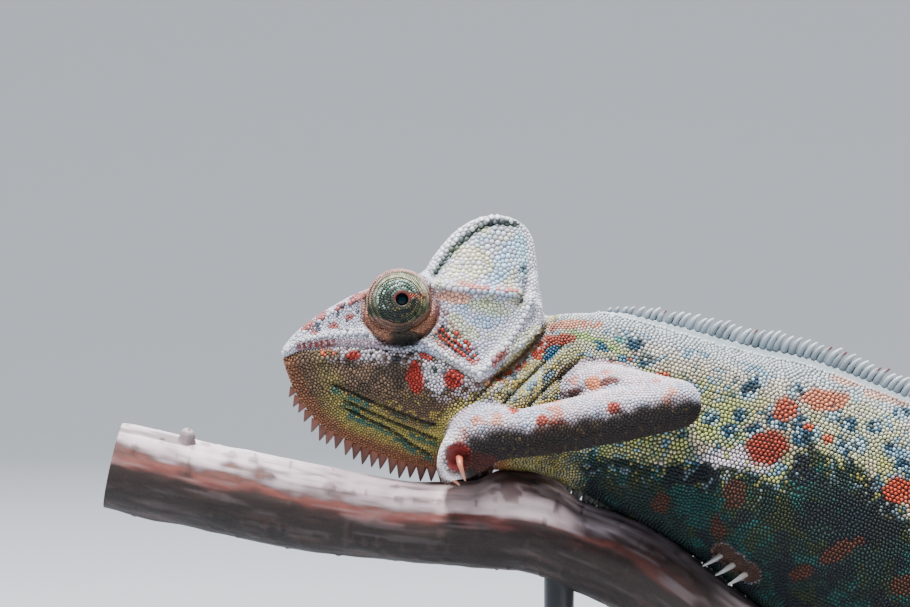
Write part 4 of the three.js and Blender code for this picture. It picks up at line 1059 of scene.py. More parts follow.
def markings(points, facing_up, near_limb, near_toe):
    """The hide's colours. Each layer is a tint and where it lies: bands by the distance from the back's,
    chin's or a ridge's line, spots as ragged ellipses in the side plane, and beads picked by noise. A last
    step deepens them all: 1.1 times the colour to the power 1.3."""
    x, y, z = points.T
    b, h = from_snout(points)
    bead = noise(points, 0.8, 301)
    speck = noise(points, 0.7, 302)
    ragged = rough(points, 2.2, 303) - 0.5
    colours = layered("b9b88c", points.shape)

    def paint(tint, share):
        """Blends the colours towards a tint by a share for each point."""
        nonlocal colours
        colours = mixed(colours, tint, share)

    def spot(px, pz, wide, high, turn=0.0, edge=0.16):
        """1 inside a ragged ellipse in the side plane, turned by some degrees, and 0 outside it."""
        dx, dz = x - px, z - pz
        c, s = np.cos(np.radians(turn)), np.sin(np.radians(turn))
        gap = np.hypot((dx * c + dz * s) / wide, (dz * c - dx * s) / high)
        gap = gap + 0.8 * ragged + 0.2 * (speck - 0.5)
        return smooth_step(1 + edge, 1 - edge, gap)

    def head_spot(back, up, wide, high, turn=0.0):
        """A spot placed from the snout."""
        return spot(snout[0] + back, snout[1] + up, wide, high, turn)

    def near_line(line, width):
        """1 on a line of the head, falling to 0 beside it."""
        return bell(distance_to(smooth_line(line, 14), b, h), width)

    def spots(tint, share, where, places):
        """Many spots of one tint."""
        for place in places:
            paint(tint, share * where(*place))

    # Trunk, upper half: pale under the crest, then cream and yellow-green with clusters of blue beads.
    below = distance_to(back[::8], x, z)
    paint("cdc3b0", uneven(points, 5, 305, 0.42, 0.6))
    green = np.maximum(smooth_step(-2, -10, x), 0.8 * smooth_step(9, 15, below))
    paint("b9bd7c", 0.9 * uneven(points, 5, 306, 0.44, 0.56) * smooth_step(4, 9, below) * green)
    paint("8aa08c", 0.8 * (bead > 0.66) * green)
    paint("d8d2c8", smooth_step(10, 4, below + 3 * ragged))
    paint("c9cfd4", smooth_step(5, 2.5, below + ragged))
    paint("8fb0c4", 0.9 * uneven(points, 2.1, 307, 0.58, 0.64) * (bead > 0.4) * smooth_step(1.5, 3, below))
    paint("2f647a", 0.9 * uneven(points, 1.9, 308, 0.62, 0.68) * smooth_step(4, 7, below) * (bead > 0.35))
    paint("cfd0b4", 0.8 * spot(15, 134, 9, 6) * (speck > 0.3))
    paint("bdc488", 0.9 * spot(-12, 136, 6.5, 4.4) * (bead > 0.3))
    BLUE = [(-4.6, 143.8), (-6.6, 141.8), (-8.4, 137.2), (-14.4, 136.8), (-10.4, 134), (-5.8, 134.2),
            (-1.6, 136.2), (3.2, 135.8), (3.6, 132.6), (5.6, 133.6), (3, 142), (10.2, 137.2), (13, 135.4),
            (18.6, 134.8), (12, 130.6), (15.2, 131.4), (21.2, 130.2), (24.2, 137.6), (24, 127.2), (31, 133),
            (37, 128), (43, 124), (33, 124), (50, 119), (57, 114), (-27, 148), (-31, 143), (-22, 139),
            (-29, 151)]
    for px, pz in BLUE:
        near = spot(px, pz, 1.8, 1.6, edge=0.35)
        paint("a9c6d6", near * (bead > 0.35) * 0.8)
        paint("295a74", near * (speck > 0.52))
        paint("1d4450", near * (bead < 0.35) * 0.8)
    ORANGE = [(0.6, 138.2, 2.6, 2.1, 0, "bf664c"), (8.8, 140.2, 4.4, 2.2, 0, "d08e72"),
              (-3.2, 130.9, 4.4, 3.3, 8, "a9503e"), (22.6, 122.6, 2.8, 2.6, 0, "b9563c"),
              (29, 120.6, 5, 5.4, 20, "b9563c"), (5, 135, .9, .8, 0, "cf7050"),
              (8.8, 132.4, .9, .8, 0, "cf7050"), (38, 131.4, 3.6, 2.2, -25, "cf7050"),
              (44, 118, 4.6, 3.2, -20, "c54d34"), (53, 121.5, 2.8, 2, -30, "cf7050"),
              (58, 107, 4, 2.8, -30, "c54d34"), (67, 110, 2.4, 1.8, -35, "cf7050"),
              (-24, 143.6, 2.4, 2, 0, "cf7050"), (-30, 136.4, 2.6, 2, 0, "c0503a")]
    # Lower half, below the line where painted shade begins: deep teal, olive and navy, partly the hide's own
    # colour and partly painted shade. Then the orange spots over both, and brown ones in the dark part,
    # which are spots darkened as painted shade.
    edge = height_on(FLANK_SHADE_EDGE, x)
    paint("ddd6dc", spot(-8.5, 128.4, 7.5, 3) * (bead > 0.3))
    lower = smooth_step(0.9, -0.9, z - edge + 5 * ragged + 1.2 * (speck - 0.5))
    lower = lower * smooth_step(-46, -40, x + 0.4 * (z - 130))
    paint("22403c", lower)
    paint("17605c", lower * 0.85 * np.maximum(spot(-13.6, 119.6, 8, 5.6), spot(-7, 113.8, 4.4, 3)))
    paint("17605c", lower * 0.8 * uneven(points, 3.4, 309, 0.52, 0.62))
    paint("424a26", lower * 0.75 * uneven(points, 3.0, 310, 0.54, 0.64))
    paint("1d2836", lower * 0.85 * np.maximum(uneven(points, 3.8, 311, 0.52, 0.62), spot(17, 118, 8, 6)))
    paint("a5a05e", lower * 0.75 * (speck > 0.7) * smooth_step(-6, -1, z - edge))
    paint("8fa3ac", lower * 0.6 * (bead > 0.7) * smooth_step(-7, -2, z - edge))
    for px, pz, wide, high, turn, tint in ORANGE:
        paint(tint, spot(px, pz, wide, high, turn))
    spots("663a26", 0.9, spot, [(-9.6, 121.8, 2.2, 2.7), (-12.8, 115, 1.4, 2.8, 10),
                                (11, 110.8, 4.5, 1.5, 28), (3.6, 106.3, 2.4, 1.4, 25),
                                (24, 104, 3.4, 2, 20), (38, 98, 3, 1.8), (-24, 120, 2, 2.4)])
    paint("d9ab96", 0.7 * spot(13, 143.9, 3.6, 0.9, -14) + 0.7 * spot(21.5, 140.4, 5, 1, -16))

    # Neck: cream, lavender, yellow and dark blue beads along its slanting folds, a darker olive low down
    # under the flap, and painted shade in the lines of its folds.
    neck = smooth_step(-38, -45, x) * smooth_step(36, 39, b + 0.35 * h)
    band = np.sin((b * 0.72 - h * 0.69) * 2 * np.pi / 3.4 + 1.8 * ragged)
    paint("c6c29c", neck * smooth_step(-0.1, 0.5, band) * 0.9)
    paint("a9aeae", neck * smooth_step(0.1, 0.6, -band) * 0.8)
    paint("c0ae62", neck * (speck > 0.6) * smooth_step(6, -2, h) * 0.8)
    paint("33566e", neck * (bead > 0.74) * 0.7)
    paint("7f7440", neck * smooth_step(-8, -15, h) * 0.7)
    # Painted shade: a dark line in the groove of each neck fold.
    for line in NECK_FOLDS:
        paint("3a382e", neck * near_line(line, 0.36) * 0.75)
    # Its upper part: a peach nape, a red patch by the flap, a yellow-green band and blue and teal clusters.
    green_band = [[58.4, 3.1], [61.2, 2.6], [64.7, 1.1], [68.1, -0.6]]
    paint("a3bd76", 0.95 * near_line(green_band, 1.1) * (bead > 0.25) * (x > -44))
    for px, pz, wide, high, turn, tint in [
            (-40.5, 155, 6, .95, 0, "d69a82"), (-43.8, 152, 2.9, 1.2, 12, "b0543f"),
            (-47.6, 149.9, 1.1, 2.4, -35, "b0543f"), (-35.7, 150.7, 2, 1, -25, "2a6f90"),
            (-45.6, 149.6, 1.9, 1.2, 40, "3f7fa2"), (-46.2, 145, 1.4, 0.9, 50, "86a4b4"),
            (-32, 151.9, 1, .7, 0, "5aa39f"), (-31.3, 148.4, 1.2, 1, 0, "4f8ea6"),
            (-29.9, 148.9, 1.1, 1, 0, "c4664e"), (-49.6, 143.4, 0.8, 1.6, -40, "8fa8b4")]:
        paint(tint, 0.92 * spot(px, pz, wide, high, turn) * (speck > 0.25))
    paint("8a7d4c", 0.9 * near_line(np.array(SHOULDER_FOLD) + [0, 1.1], 0.5) * (x < -33))
    # Painted shade: a dark line in the shoulder fold's groove.
    paint("2c2620", 0.9 * near_line(SHOULDER_FOLD, 0.42) * (x < -33))

    # Throat: brown-olive under the lips, partly painted shade, and olive-yellow lower down. Its pleats are
    # edged in teal, with dark lines in their grooves as painted shade.
    mouth = mouth_height(b)
    throat = smooth_step(0.1, -0.3, h - mouth) * smooth_step(42, 36, b + 0.4 * (h + 6)) * (x < -50)
    keel = distance_to(head_line(THROAT_LINE, 24), x, z)
    # The throat's dark brown-olive is partly the hide's colour and partly painted shade.
    paint("776250", throat)
    paint("8a7460", throat * 0.6 * (bead > 0.62) * smooth_step(-12, -4, h))
    paint("3f3a35", throat * 0.6 * uneven(points, 2.6, 318, 0.56, 0.66) * smooth_step(-12, -8, h))
    paint("a89d5c", throat * smooth_step(10.5, 6.5, keel + 3 * ragged) * smooth_step(5, 14, b))
    paint("b5a45c", throat * (speck > 0.66) * smooth_step(-7, -12, h) * 0.8)
    paint("94694a", throat * smooth_step(4, 1.5, keel + ragged))
    paint("b4aa64", throat * head_spot(36.5, -13.5, 6.5, 3.6, 30) * 0.85)
    # Painted shade: a dark line in each pleat's groove, edged with teal beads.
    for k, line in enumerate(PLEATS):
        run = smooth_line(np.array(line) + [0.2, -1.1], 12)
        paint("2f716c", throat * bell(distance_to(run, b, h), 0.75) * (bead > 0.42) * 0.9
              * uneven(points, 3, 330 + k, 0.35, 0.5))
        paint("16201c", throat * near_line(line, 0.3) * 0.9)
    near_lips = smooth_step(-3.8, -1.6, h - mouth) * smooth_step(8, 12, b)
    paint("c6bec8", throat * 0.92 * (bead > 0.42) * near_lips)
    paint("aaa0a6", throat * 0.85 * (bead > 0.4) * head_spot(33, -6.5, 6, 3.6, -20))
    paint("35474f", throat * 0.8 * (bead < 0.28) * smooth_step(-4, -1.6, h - mouth)
          * smooth_step(14, 18, b))
    paint("ccc8d0", throat * 0.9 * (bead > 0.36) * head_spot(31, -5, 2.8, 3.2))
    paint("4b5a5e", throat * 0.85 * (bead <= 0.4) * head_spot(31, -5, 2.8, 3.2))
    spots("a8321f", 0.97, head_spot, [(27, -5.3, 1.6, 3, 12), (34.6, -5.4, 1.8, 2, 30),
                                      (29.4, -1.2, 1.7, .7, -8), (14.8, -1.0, 1.5, .9, 20)])
    paint("cf6f48", 0.95 * head_spot(9.4, -.4, 1.5, .8) * (bead > 0.3))

    # Skull: lilac-white, with blue-grey and pale yellow plates, red streaks and a peach temple.
    skull = smooth_step(-0.4, 0.1, h - mouth) * smooth_step(53.5, 52.4, b) * (h > -7.5) * (x < -46)
    skull *= smooth_step(-1.2, -0.4, h + 7.2 - 0.94 * np.maximum(b - 38.6, 0))
    paint("c3c4d1", skull)
    paint("9db3c8", skull * 0.8 * uneven(points, 3.0, 312, 0.52, 0.64) * smooth_step(24, 30, b))
    paint("c6c6a6", skull * 0.7 * uneven(points, 3.4, 313, 0.52, 0.62) * smooth_step(28, 33, b))
    paint("a9c0d6", skull * 0.85 * head_spot(44.5, 17, 2, 6.5, -28) * (bead > 0.25))
    paint("b4d2de", skull * 0.75 * head_spot(48.4, 20, 1.6, 6, 0))
    paint("d0ceb6", skull * 0.8 * head_spot(37.4, 17, 4.4, 3.2, 30) * (speck > 0.35))
    # A pale band along the casque's top edge: partly its pale rim, partly painted highlight.
    paint("d8d9e2", skull * smooth_step(2.2, 1.2, distance_to(crown[40:], x, z)) * smooth_step(26, 31, b))
    # Painted shade: dark green to near black along the casque's grooves.
    paint("4f6156", skull * near_line(CASQUE_GROOVE, 0.75) * (bead > 0.25))
    paint("1f3238", skull * near_line(CASQUE_GROOVE, 0.5) * (bead <= 0.3))
    paint("2b3844", skull * near_line([[48.4, 16.4], [48.9, 12.4], [48, 9.8]], 0.7) * (speck > 0.35) * 0.9)
    paint("dfab93", skull * 0.85 * head_spot(34.6, 10.6, 3.4, 1.4, -8))
    paint("bf6450", skull * 0.8 * near_line([[36, 13.2], [40, 12.4], [47, 11.9]], 0.55) * (speck > 0.3))
    paint("a9b98e", skull * 0.55 * head_spot(42, 8.4, 5, 1.4, -12))
    slant = (b - 33) * 0.62 + (h - 1.5) * 0.78
    stripes = head_spot(34.8, 1.2, 5.6, 2.7, -39)
    paint("b0442c", skull * stripes * smooth_step(0.1, 0.5, np.sin(slant * 2 * np.pi / 1.25)))
    # Painted shade: dark in the grooves between the red stripes, which lie on the ridges of the slanting
    # wrinkles.
    paint("23303a", skull * stripes * smooth_step(0.3, 0.7, -np.sin(slant * 2 * np.pi / 1.25)) * 0.9)
    stripes = head_spot(31.5, 6.2, 4.5, 2.6, -30)
    paint("8f4a40", skull * stripes * smooth_step(0.4, 0.8, np.sin(slant * 2 * np.pi / 1.1)) * 0.6)
    paint("dcdce6", skull * near_line(LIP_RIDGE, 0.85) * 0.95)
    paint("dcdae4", skull * near_line(CHEEK_RIDGE, 1.0) * 0.95)
    paint("d8d8e2", skull * near_line(REAR_RIDGE, 1.3) * 0.9)
    lip = smooth_step(0.0, 0.4, h - mouth) * smooth_step(2.1, 1.4, h - mouth) * smooth_step(2.5, 4, b)
    lip *= smooth_step(24, 20, b)
    lip_marks = 0.5 + 0.45 * (np.sin(b * 2 * np.pi / 1.15) > -0.2)
    paint("8a3f36", skull * lip * lip_marks * smooth_step(13, 10, b))
    paint("a98f98", skull * lip * 0.7 * smooth_step(10, 13, b))
    spots("9c4a42", 0.85, head_spot, [(5.6, 4.9, 1.5, .8, 35), (8.2, 6.8, 1.7, .7, 35),
                                      (12, 8.6, 1.4, .6, 30), (15.4, 10.4, 2, .8, 28), (10.6, 4.9, 1.1, .8),
                                      (14, 6.6, 1, .7, 20), (18, 6, .9, 1.4), (43.5, -1.4, 2.6, .8, 45),
                                      (7, 3.6, .8, .5)])
    paint("404b5c", skull * (speck > 0.74) * smooth_step(24, 18, b) * smooth_step(2.6, 3.6, h) * 0.8)
    eye = np.hypot(b - EYE["back"], h - EYE["up"])
    beneath = smooth_step(2, -4, h - EYE["up"])
    round_eye = smooth_step(8.1, 7.5, eye) * smooth_step(4, 2, h - EYE["up"])
    paint("b48270", skull * round_eye * (0.6 + 0.4 * beneath))
    paint("8f3d2c", skull * bell(eye - 7.9, 0.5) * smooth_step(1, 4, b - EYE["back"]) * beneath * 0.8)
    fold = beneath * smooth_step(8.9, 8.1, eye)
    paint("a37860", skull * fold * smooth_step(-1.5, -4, h - EYE["up"]) * 0.85)
    # Painted shade: the dark middle of the fold below the eye, and the dark pocket under it.
    paint("383a2a", skull * fold * smooth_step(-4, -6, h - EYE["up"]) * head_spot(25, 2.4, 3, 2) * 0.85)
    paint("1c1f1e", skull * bell(np.hypot((b - 25.2) / 3.2, (h - 2.2) / 1.1), 1) * 0.95)
    flap_shade = near_line(FLAP_GAP, 0.45) * (x < -45)
    paint("74483a", flap_shade * 0.8)
    red_edge = near_line(np.array(FLAP_GAP) + [1.2, -0.6], 0.6) * smooth_step(40, 42, b)
    paint("b0452e", red_edge * (speck > 0.42) * 0.9)

    # Tail: rings of yellow-green and teal, with orange on its sides.
    far = np.maximum(0, x - 70)
    coil_angle = np.arctan2(z - COIL["z"], x - COIL["x"])
    tail = smooth_step(74, 82, x)
    paint("a3a468", tail)
    paint("356b66", tail * 0.9 * smooth_step(-0.1, 0.4, np.sin(coil_angle * 7 + far * 0.22 + 1.5 * ragged)))
    paint("c06a48", tail * 0.85 * uneven(points, 4.5, 314, 0.58, 0.66))
    paint("d6d4b8", tail * 0.6 * uneven(points, 2.2, 315, 0.58, 0.68))

    # Legs: lilac-white with a few red spots, and their undersides painted dark brown as painted shade; toes
    # warm brown.
    limb = smooth_step(1.4, 0.5, np.minimum(near_limb, near_toe)) * (1 - tail)
    hind = smooth_step(10, 26, x)
    under = smooth_step(0.46, -0.1, facing_up + 0.5 * ragged)
    colours = mixed(colours, mixed(srgb("c6bcc6")[None], "b2b68c", hind), limb)
    paint("b4bfd2", limb * 0.7 * uneven(points, 2.6, 316, 0.55, 0.66))
    paint("cf8a72", limb * 0.75 * uneven(points, 3.2, 317, 0.6, 0.68))
    for px, pz, size in [(-44.6, 135.2, 1.5), (-47.8, 136.6, 1.2), (-53.2, 138.4, .9), (-34, 139, 1.4),
                         (44, 88, 2), (52, 95, 2.2), (38, 93, 1.8)]:
        paint("b0482f", limb * 0.95 * spot(px, pz, size, size * 0.9))
    paint("cf8a66", limb * 0.95 * spot(-37.6, 143.6, 1.6, 1.5))
    paint("cd8f78", limb * 0.8 * spot(-56.6, 136.6, 1.4, 1, 30))
    for px, pz, wide in [(-45.6, 140.8, 1.8), (-41.6, 141.8, 1.7), (-34.5, 143.8, 1.8)]:
        paint("6b3428", limb * 0.9 * spot(px, pz, wide, 0.9, 15) * (bead > 0.3))
    # Painted shade: the legs' undersides, dark brown on the forelegs and dark green-brown on the hind legs.
    colours = mixed(colours, mixed(srgb("24170f")[None], "1a2822", hind), limb * under * 0.97)
    paint("5f5034", limb * under * (speck > 0.75) * 0.5)
    toes = limb * smooth_step(0.9, 0.2, near_toe - near_limb)
    paint("7a4f38", toes * (1 - 0.6 * under) * 0.85)
    hand = limb * (y < -6) * (x < -48) * (z > 121)
    sole_gap = np.hypot(x - sole[0] - 0.3, (z - sole[1] - 0.2) * 0.85) + 1.2 * ragged
    paint("eae2e6", hand * bell(sole_gap - 3.7, 0.9) * smooth_step(2.5, -1, x - sole[0]))
    # The sole's hollow is dark red: its red skin, darkened as painted shade in the hollow. Beside it the
    # palm is painted dark brown as painted shade.
    paint("84241c", hand * smooth_step(3.0, 2.1, sole_gap))
    paint("5c2a20", hand * spot(sole[0] + 4.4, sole[1] - 0.6, 4, 1.9, -8) * 0.85)
    return np.clip(1.1 * colours**1.3, 0, 1)


# Tiny bosses and shallow pits in the resin of the scales, and its slight gloss. Dark pigment is more matt.
fleck = bpy.data.node_groups.new("painted_resin_grain", "ShaderNodeTree")
for name, kind, way in (("Tint", "Color", "INPUT"), ("Grain", "Float", "INPUT"), ("Depth", "Float", "INPUT"),
                        ("Color", "Color", "OUTPUT"), ("Roughness", "Float", "OUTPUT"),
                        ("Normal", "Vector", "OUTPUT")):
    fleck.interface.new_socket(name, in_out=way, socket_type="NodeSocket" + kind)
inlet, outlet = fleck.nodes.new("NodeGroupInput"), fleck.nodes.new("NodeGroupOutput")
grain = add_node(fleck, "TexNoise", Detail=4)
shade = add_node(fleck, "MapRange", To_Min=0.78, To_Max=1.2)
tone = add_node(fleck, "Mix")
tone.data_type = "RGBA"
tone.blend_type = "MULTIPLY"
tone.inputs["Factor"].default_value = 1
gloss = add_node(fleck, "MapRange", To_Min=0.26, To_Max=0.46)
darkness = add_node(fleck, "RGBToBW")
matt = add_node(fleck, "MapRange", From_Min=0.01, From_Max=0.14, To_Min=0.34, To_Max=0)
softer = add_node(fleck, "Math")
dents = add_node(fleck, "Bump", Distance=0.0001)
wire(fleck, (add_node(fleck, "TexCoord").outputs["Object"], grain.inputs["Vector"]),
     (inlet.outputs["Grain"], grain.inputs["Scale"]), (grain.outputs["Fac"], shade.inputs["Value"]),
     (inlet.outputs["Tint"], tone.inputs["A"]), (shade.outputs["Result"], tone.inputs["B"]),
     (tone.outputs["Result"], outlet.inputs["Color"]), (grain.outputs["Fac"], gloss.inputs["Value"]),
     (inlet.outputs["Tint"], darkness.inputs["Color"]), (darkness.outputs["Val"], matt.inputs["Value"]),
     (gloss.outputs["Result"], softer.inputs[0]), (matt.outputs["Result"], softer.inputs[1]),
     (softer.outputs["Value"], outlet.inputs["Roughness"]), (grain.outputs["Fac"], dents.inputs["Height"]),
     (inlet.outputs["Depth"], dents.inputs["Strength"]), (dents.outputs["Normal"], outlet.inputs["Normal"]))


def resin(name, grain_scale, depth, **sockets):
    """Painted resin: the tint attribute, broken up by the shared grain."""
    made, tree, shader = material_of(name, 0.4, **sockets)
    group = add_node(tree, "Group")
    group.node_tree = fleck
    group.inputs["Grain"].default_value = grain_scale
    group.inputs["Depth"].default_value = depth
    wire(tree, (tint_of(tree), group.inputs["Tint"]), (group.outputs["Color"], shader.inputs["Base Color"]),
         (group.outputs["Roughness"], shader.inputs["Roughness"]),
         (group.outputs["Normal"], shader.inputs["Normal"]))
    return made


scale_resin = resin("scale_resin", 2600, 0.35, Specular_IOR_Level=0.36)
hide_resin = resin("hide_resin", 1500, 0.6)
FLESH = [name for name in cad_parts
         if not name.startswith(("stand", "perch", "eye")) and "claw" not in name]
on_band = (skin[:, 2] > height_on(back, skin[:, 0]) - 0.4) & (skin[:, 0] > -44)
skin_tints = markings(skin, skin_normals[:, 2], near_limb, near_toe)
in_sole = (np.hypot(skin[:, 0] - sole[0], skin[:, 2] - sole[1]) < 2.7) & (skin[:, 1] < -8)
# Painted shade: the bare skin shows only in the gaps between the scales and is painted dark there. It is
# darkest on the flanks and throat, and less dark on the limbs, the casque's top and along the flap's groove;
# the sole keeps its colour.
skin_shade = 0.12 + 0.3 * smooth_step(1, 0.4, np.minimum(near_limb, near_toe))
skin_shade = skin_shade + 0.28 * (skin[:, 0] < -47) * (skin[:, 2] > 144)
flap = bell(distance_to(smooth_line(FLAP_GAP, 20), *from_snout(skin)), 1.2)
skin_shade = np.where(in_sole, 0.9, skin_shade + 0.5 * flap)[:, None]
band_tints = srgb("b2bfc9") * (0.85 + 0.2 * rough(skin, 1, 71))[:, None]
put_colours(skin_mesh, np.where(on_band[:, None], band_tints, skin_tints * skin_shade))
skin_mesh.materials.append(hide_resin)
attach(skin_object, "root")
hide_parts(*FLESH)


def put_bake_map(mesh, unwrap, points):
    """The map OFBake: each scale is a patch 0.003 across at its root's place on the unwrap, and a point's
    place in the patch is its place in the scale, seen from above."""
    layer = mesh.uv_layers.new(name="OFBake")
    local = points - points[:, :1]
    size = np.abs(local).max(axis=(1, 2), keepdims=True)
    flat = np.stack([local[..., 0] + 0.5 * local[..., 1], local[..., 2] - 0.5 * local[..., 1]], axis=-1)
    places = (unwrap[:, None] * 0.99 + 0.005 + 0.0011 * flat / size).reshape(-1, 2)
    corners = read_all(mesh.loops, "vertex_index", 1).ravel()
    layer.data.foreach_set("uv", places[corners].astype(np.float32).ravel())


def unrolled_on(line, points):
    """An unwrap round a line: the share of the way along it, and the share of a turn round it."""
    away = np.linalg.norm(points[:, None] - line[None], axis=-1)
    at = away.argmin(axis=1)
    along, side, up = (v[at] for v in frames(line))
    off = points - line[at]
    share = (at + 0.5 + np.clip(np.sum(off * along, axis=1), -0.5, 0.5)) / len(line)
    return np.column_stack([share, np.arctan2(np.sum(off * up, axis=1), np.sum(off * side, axis=1))
                            / (2 * np.pi) + 0.5])


def coat_piece(name, chosen, line, slot, shoulder, rise, edge, directions=6, widest=0.62):
    """The scales of one region as one joined mesh. Each scale's rim is darker by the edge's share, as
    painted shade in the gaps between scales, and its top a little lighter, as a slight painted highlight.
    """
    points, faces = domes(roots[chosen], normals[chosen], scale_pitch[chosen], rise * scale_pitch[chosen],
                          directions, shoulder, 0.95, widest)
    mesh = mesh_of(name, points.reshape(-1, 3), faces)
    tint = scale_tints[chosen]
    # Painted light and shade on each scale: its top a little lighter, its ring nearly plain, and its rim
    # darker by the edge's share.
    dark = np.concatenate([[1.1], np.full(directions, 1.02), np.full(directions, edge)])
    put_colours(mesh, (tint[:, None] * dark[:, None]).reshape(-1, 3))
    put_bake_map(mesh, unrolled_on(line, roots[chosen]), points)
    return piece(name, mesh, scale_resin, slot)


near_limb_only = limb_gap(roots, limb_axes)
near_toe_only = limb_gap(roots, toe_axes)
scale_tints = markings(roots, normals[:, 2], near_limb_only, near_toe_only)
scale_tints = scale_tints * (0.76 + 0.56 * random.random(len(roots)))[:, None]

tail_gap = limb_gap(roots, [(tail_line[::3], tail_size[::3])])
on_tail = (roots[:, 0] > 76) & (tail_gap < 1.5)
on_limb = (np.minimum(near_limb_only, near_toe_only) < 0.9) & ~on_tail
on_head = (roots[:, 0] < -48) & ~on_limb
on_throat = on_head & (roots[:, 2] < mouth_height(roots[:, 0] - snout[0]) + snout[1])
left = roots[:, 1] < 0
head_axis = np.column_stack([np.linspace(-100, -46, 40), np.zeros(40), np.linspace(150, 160, 40)])
throat_axis = np.column_stack([np.linspace(-99, -46, 40), np.zeros(40), np.linspace(146, 138, 40)])
trunk_axis = np.column_stack([np.linspace(-50, 80, 90), np.zeros(90), np.linspace(142, 98, 90)])
for side, half in (("left", left), ("right", ~left)):
    coat_piece(f"scales_skull_{side}", on_head & ~on_throat & half, head_axis, "pale_skin", (0.84, 0.82),
               0.17, 0.42, 8, 0.8)
    coat_piece(f"scales_throat_{side}", on_throat & half, throat_axis, "throat_skin", (0.66, 0.78),
               0.36, 0.18, 8)
    flank = ~(on_head | on_limb | on_tail) & half
    for end, part in (("front", roots[:, 0] < 14), ("rear", roots[:, 0] >= 14)):
        coat_piece(f"scales_flank_{end}_{side}", flank & part, trunk_axis, "flank_skin", (0.6, 0.76),
                   0.5, 0.14)
    for end, part in (("fore", roots[:, 0] < 14), ("hind", roots[:, 0] >= 14)):
        legs = [leg for leg in LEGS if leg["name"] == f"{end}leg_{side}"]
        stations = [legs[0][k] for k in ("root", "joint", "end")] + [by_perch(legs[0]["x"], 0, 0, 10)]
        coat_piece(f"scales_{end}leg_{side}", on_limb & half & part, smooth_line(stations, 60), "pale_skin",
                   (0.74, 0.8), 0.25, 0.36, 8)
coat_piece("scales_tail", on_tail, tail_line, "flank_skin", (0.62, 0.8), 0.34, 0.35)

# ---------------------------------------------------------------------------------------------------------
# Spikes: the comb of the back and tail, the beard of the chin and the fine grey fringe of the belly. Each
# is a leaning cone of resin, flattened a little, set into the skin between the scales.
def cones(base, up, along, height, half_along, half_across, lean, shape):
    """Leaning cones as (cones, points, 3) with their quads and tip triangles. Each shape row is the share
    of the height and of the half-widths. The cone leans along by lean times its height, more at the tip."""
    across = np.cross(up, along)
    sides = 8
    turn = circle(sides)
    column = lambda values: np.asarray(values, float).reshape(-1, 1, 1, 1) * np.ones((len(base), 1, 1, 1))
    rise, wide = np.array(shape).T
    middle = base[:, None, None] + column(height) * rise[None, :, None, None] * up[:, None, None]
    middle = middle + column(height * lean) * (rise**2)[None, :, None, None] * along[:, None, None]
    ring = (column(half_along) * np.cos(turn)[None, None, :, None] * along[:, None, None]
            + column(half_across) * np.sin(turn)[None, None, :, None] * across[:, None, None])
    rings = middle + wide[None, :, None, None] * ring
    tip = middle[:, -1] + 0.12 * column(half_along)[:, 0] * up[:, None]
    points = np.concatenate([rings.reshape(len(base), -1, 3), tip], axis=1)
    near = np.arange(sides)
    last = (len(shape) - 1) * sides
    top = np.stack([last + near, last + np.roll(near, -1), np.full(sides, last + sides)], axis=-1)
    first = (np.arange(len(base)) * points.shape[1])[:, None, None]
    return points, (first + around(rings[0])).reshape(-1, 4), (first + top).reshape(-1, 3)


def spike_piece(name, cone_parts, root_tint, tip_tint, line, slot, mark=None):
    """A row of cones as one mesh, painted from the root's tint to the tip's, each a little different. A
    third of them have tips of the mark's colour."""
    points, quads, tips = cone_parts
    mesh = mesh_of(name, points.reshape(-1, 3), quads, tips)
    share = np.linspace(0, 1, points.shape[1])[None, :, None]
    tints = srgb(root_tint) * (1 - share) + srgb(tip_tint) * share
    tints = tints * (0.8 + 0.4 * random.random((len(points), 1, 1)))
    if mark:
        chosen = (random.random((len(points), 1)) < 0.34) * smooth_step(0.62, 0.78, share[..., 0])
        tints = mixed(tints, mark, chosen)
    put_colours(mesh, tints.reshape(-1, 3))
    put_bake_map(mesh, unrolled_on(line, points[:, 0]), points)
    return piece(name, mesh, scale_resin, slot)


# Blunt and sharp outlines, as [share of the height, share of the half-width].
SPIKE_SHAPE = [(0, 1), (0.35, 0.94), (0.62, 0.78), (0.83, 0.54), (0.95, 0.28)]
THORN_SHAPE = [(0, 1), (0.25, 0.82), (0.5, 0.58), (0.75, 0.33), (0.94, 0.12)]


def row_on(line, step, first, last, seed):
    """Places spaced by about a step along part of a line in the side plane, with their share of it, the
    line's direction there and the direction square to it, as three-dimensional vectors."""
    run = np.r_[0, np.cumsum(np.linalg.norm(np.diff(line, axis=0), axis=1))]
    count = int((last - first) * run[-1] / step)
    wobble = np.random.default_rng(seed).uniform(-0.16, 0.16, count)
    at = (first + (last - first) * (np.arange(count) + 0.5 + wobble) / count) * run[-1]
    spot = np.column_stack([np.interp(at, run, line[:, 0]), 0 * at, np.interp(at, run, line[:, 1])])
    slope = np.gradient(line, axis=0)
    along = unit(np.column_stack([np.interp(at, run, slope[:, 0]), 0 * at, np.interp(at, run, slope[:, 1])]))
    return spot, at / run[-1], along, np.column_stack([-along[:, 2], 0 * at, along[:, 0]])


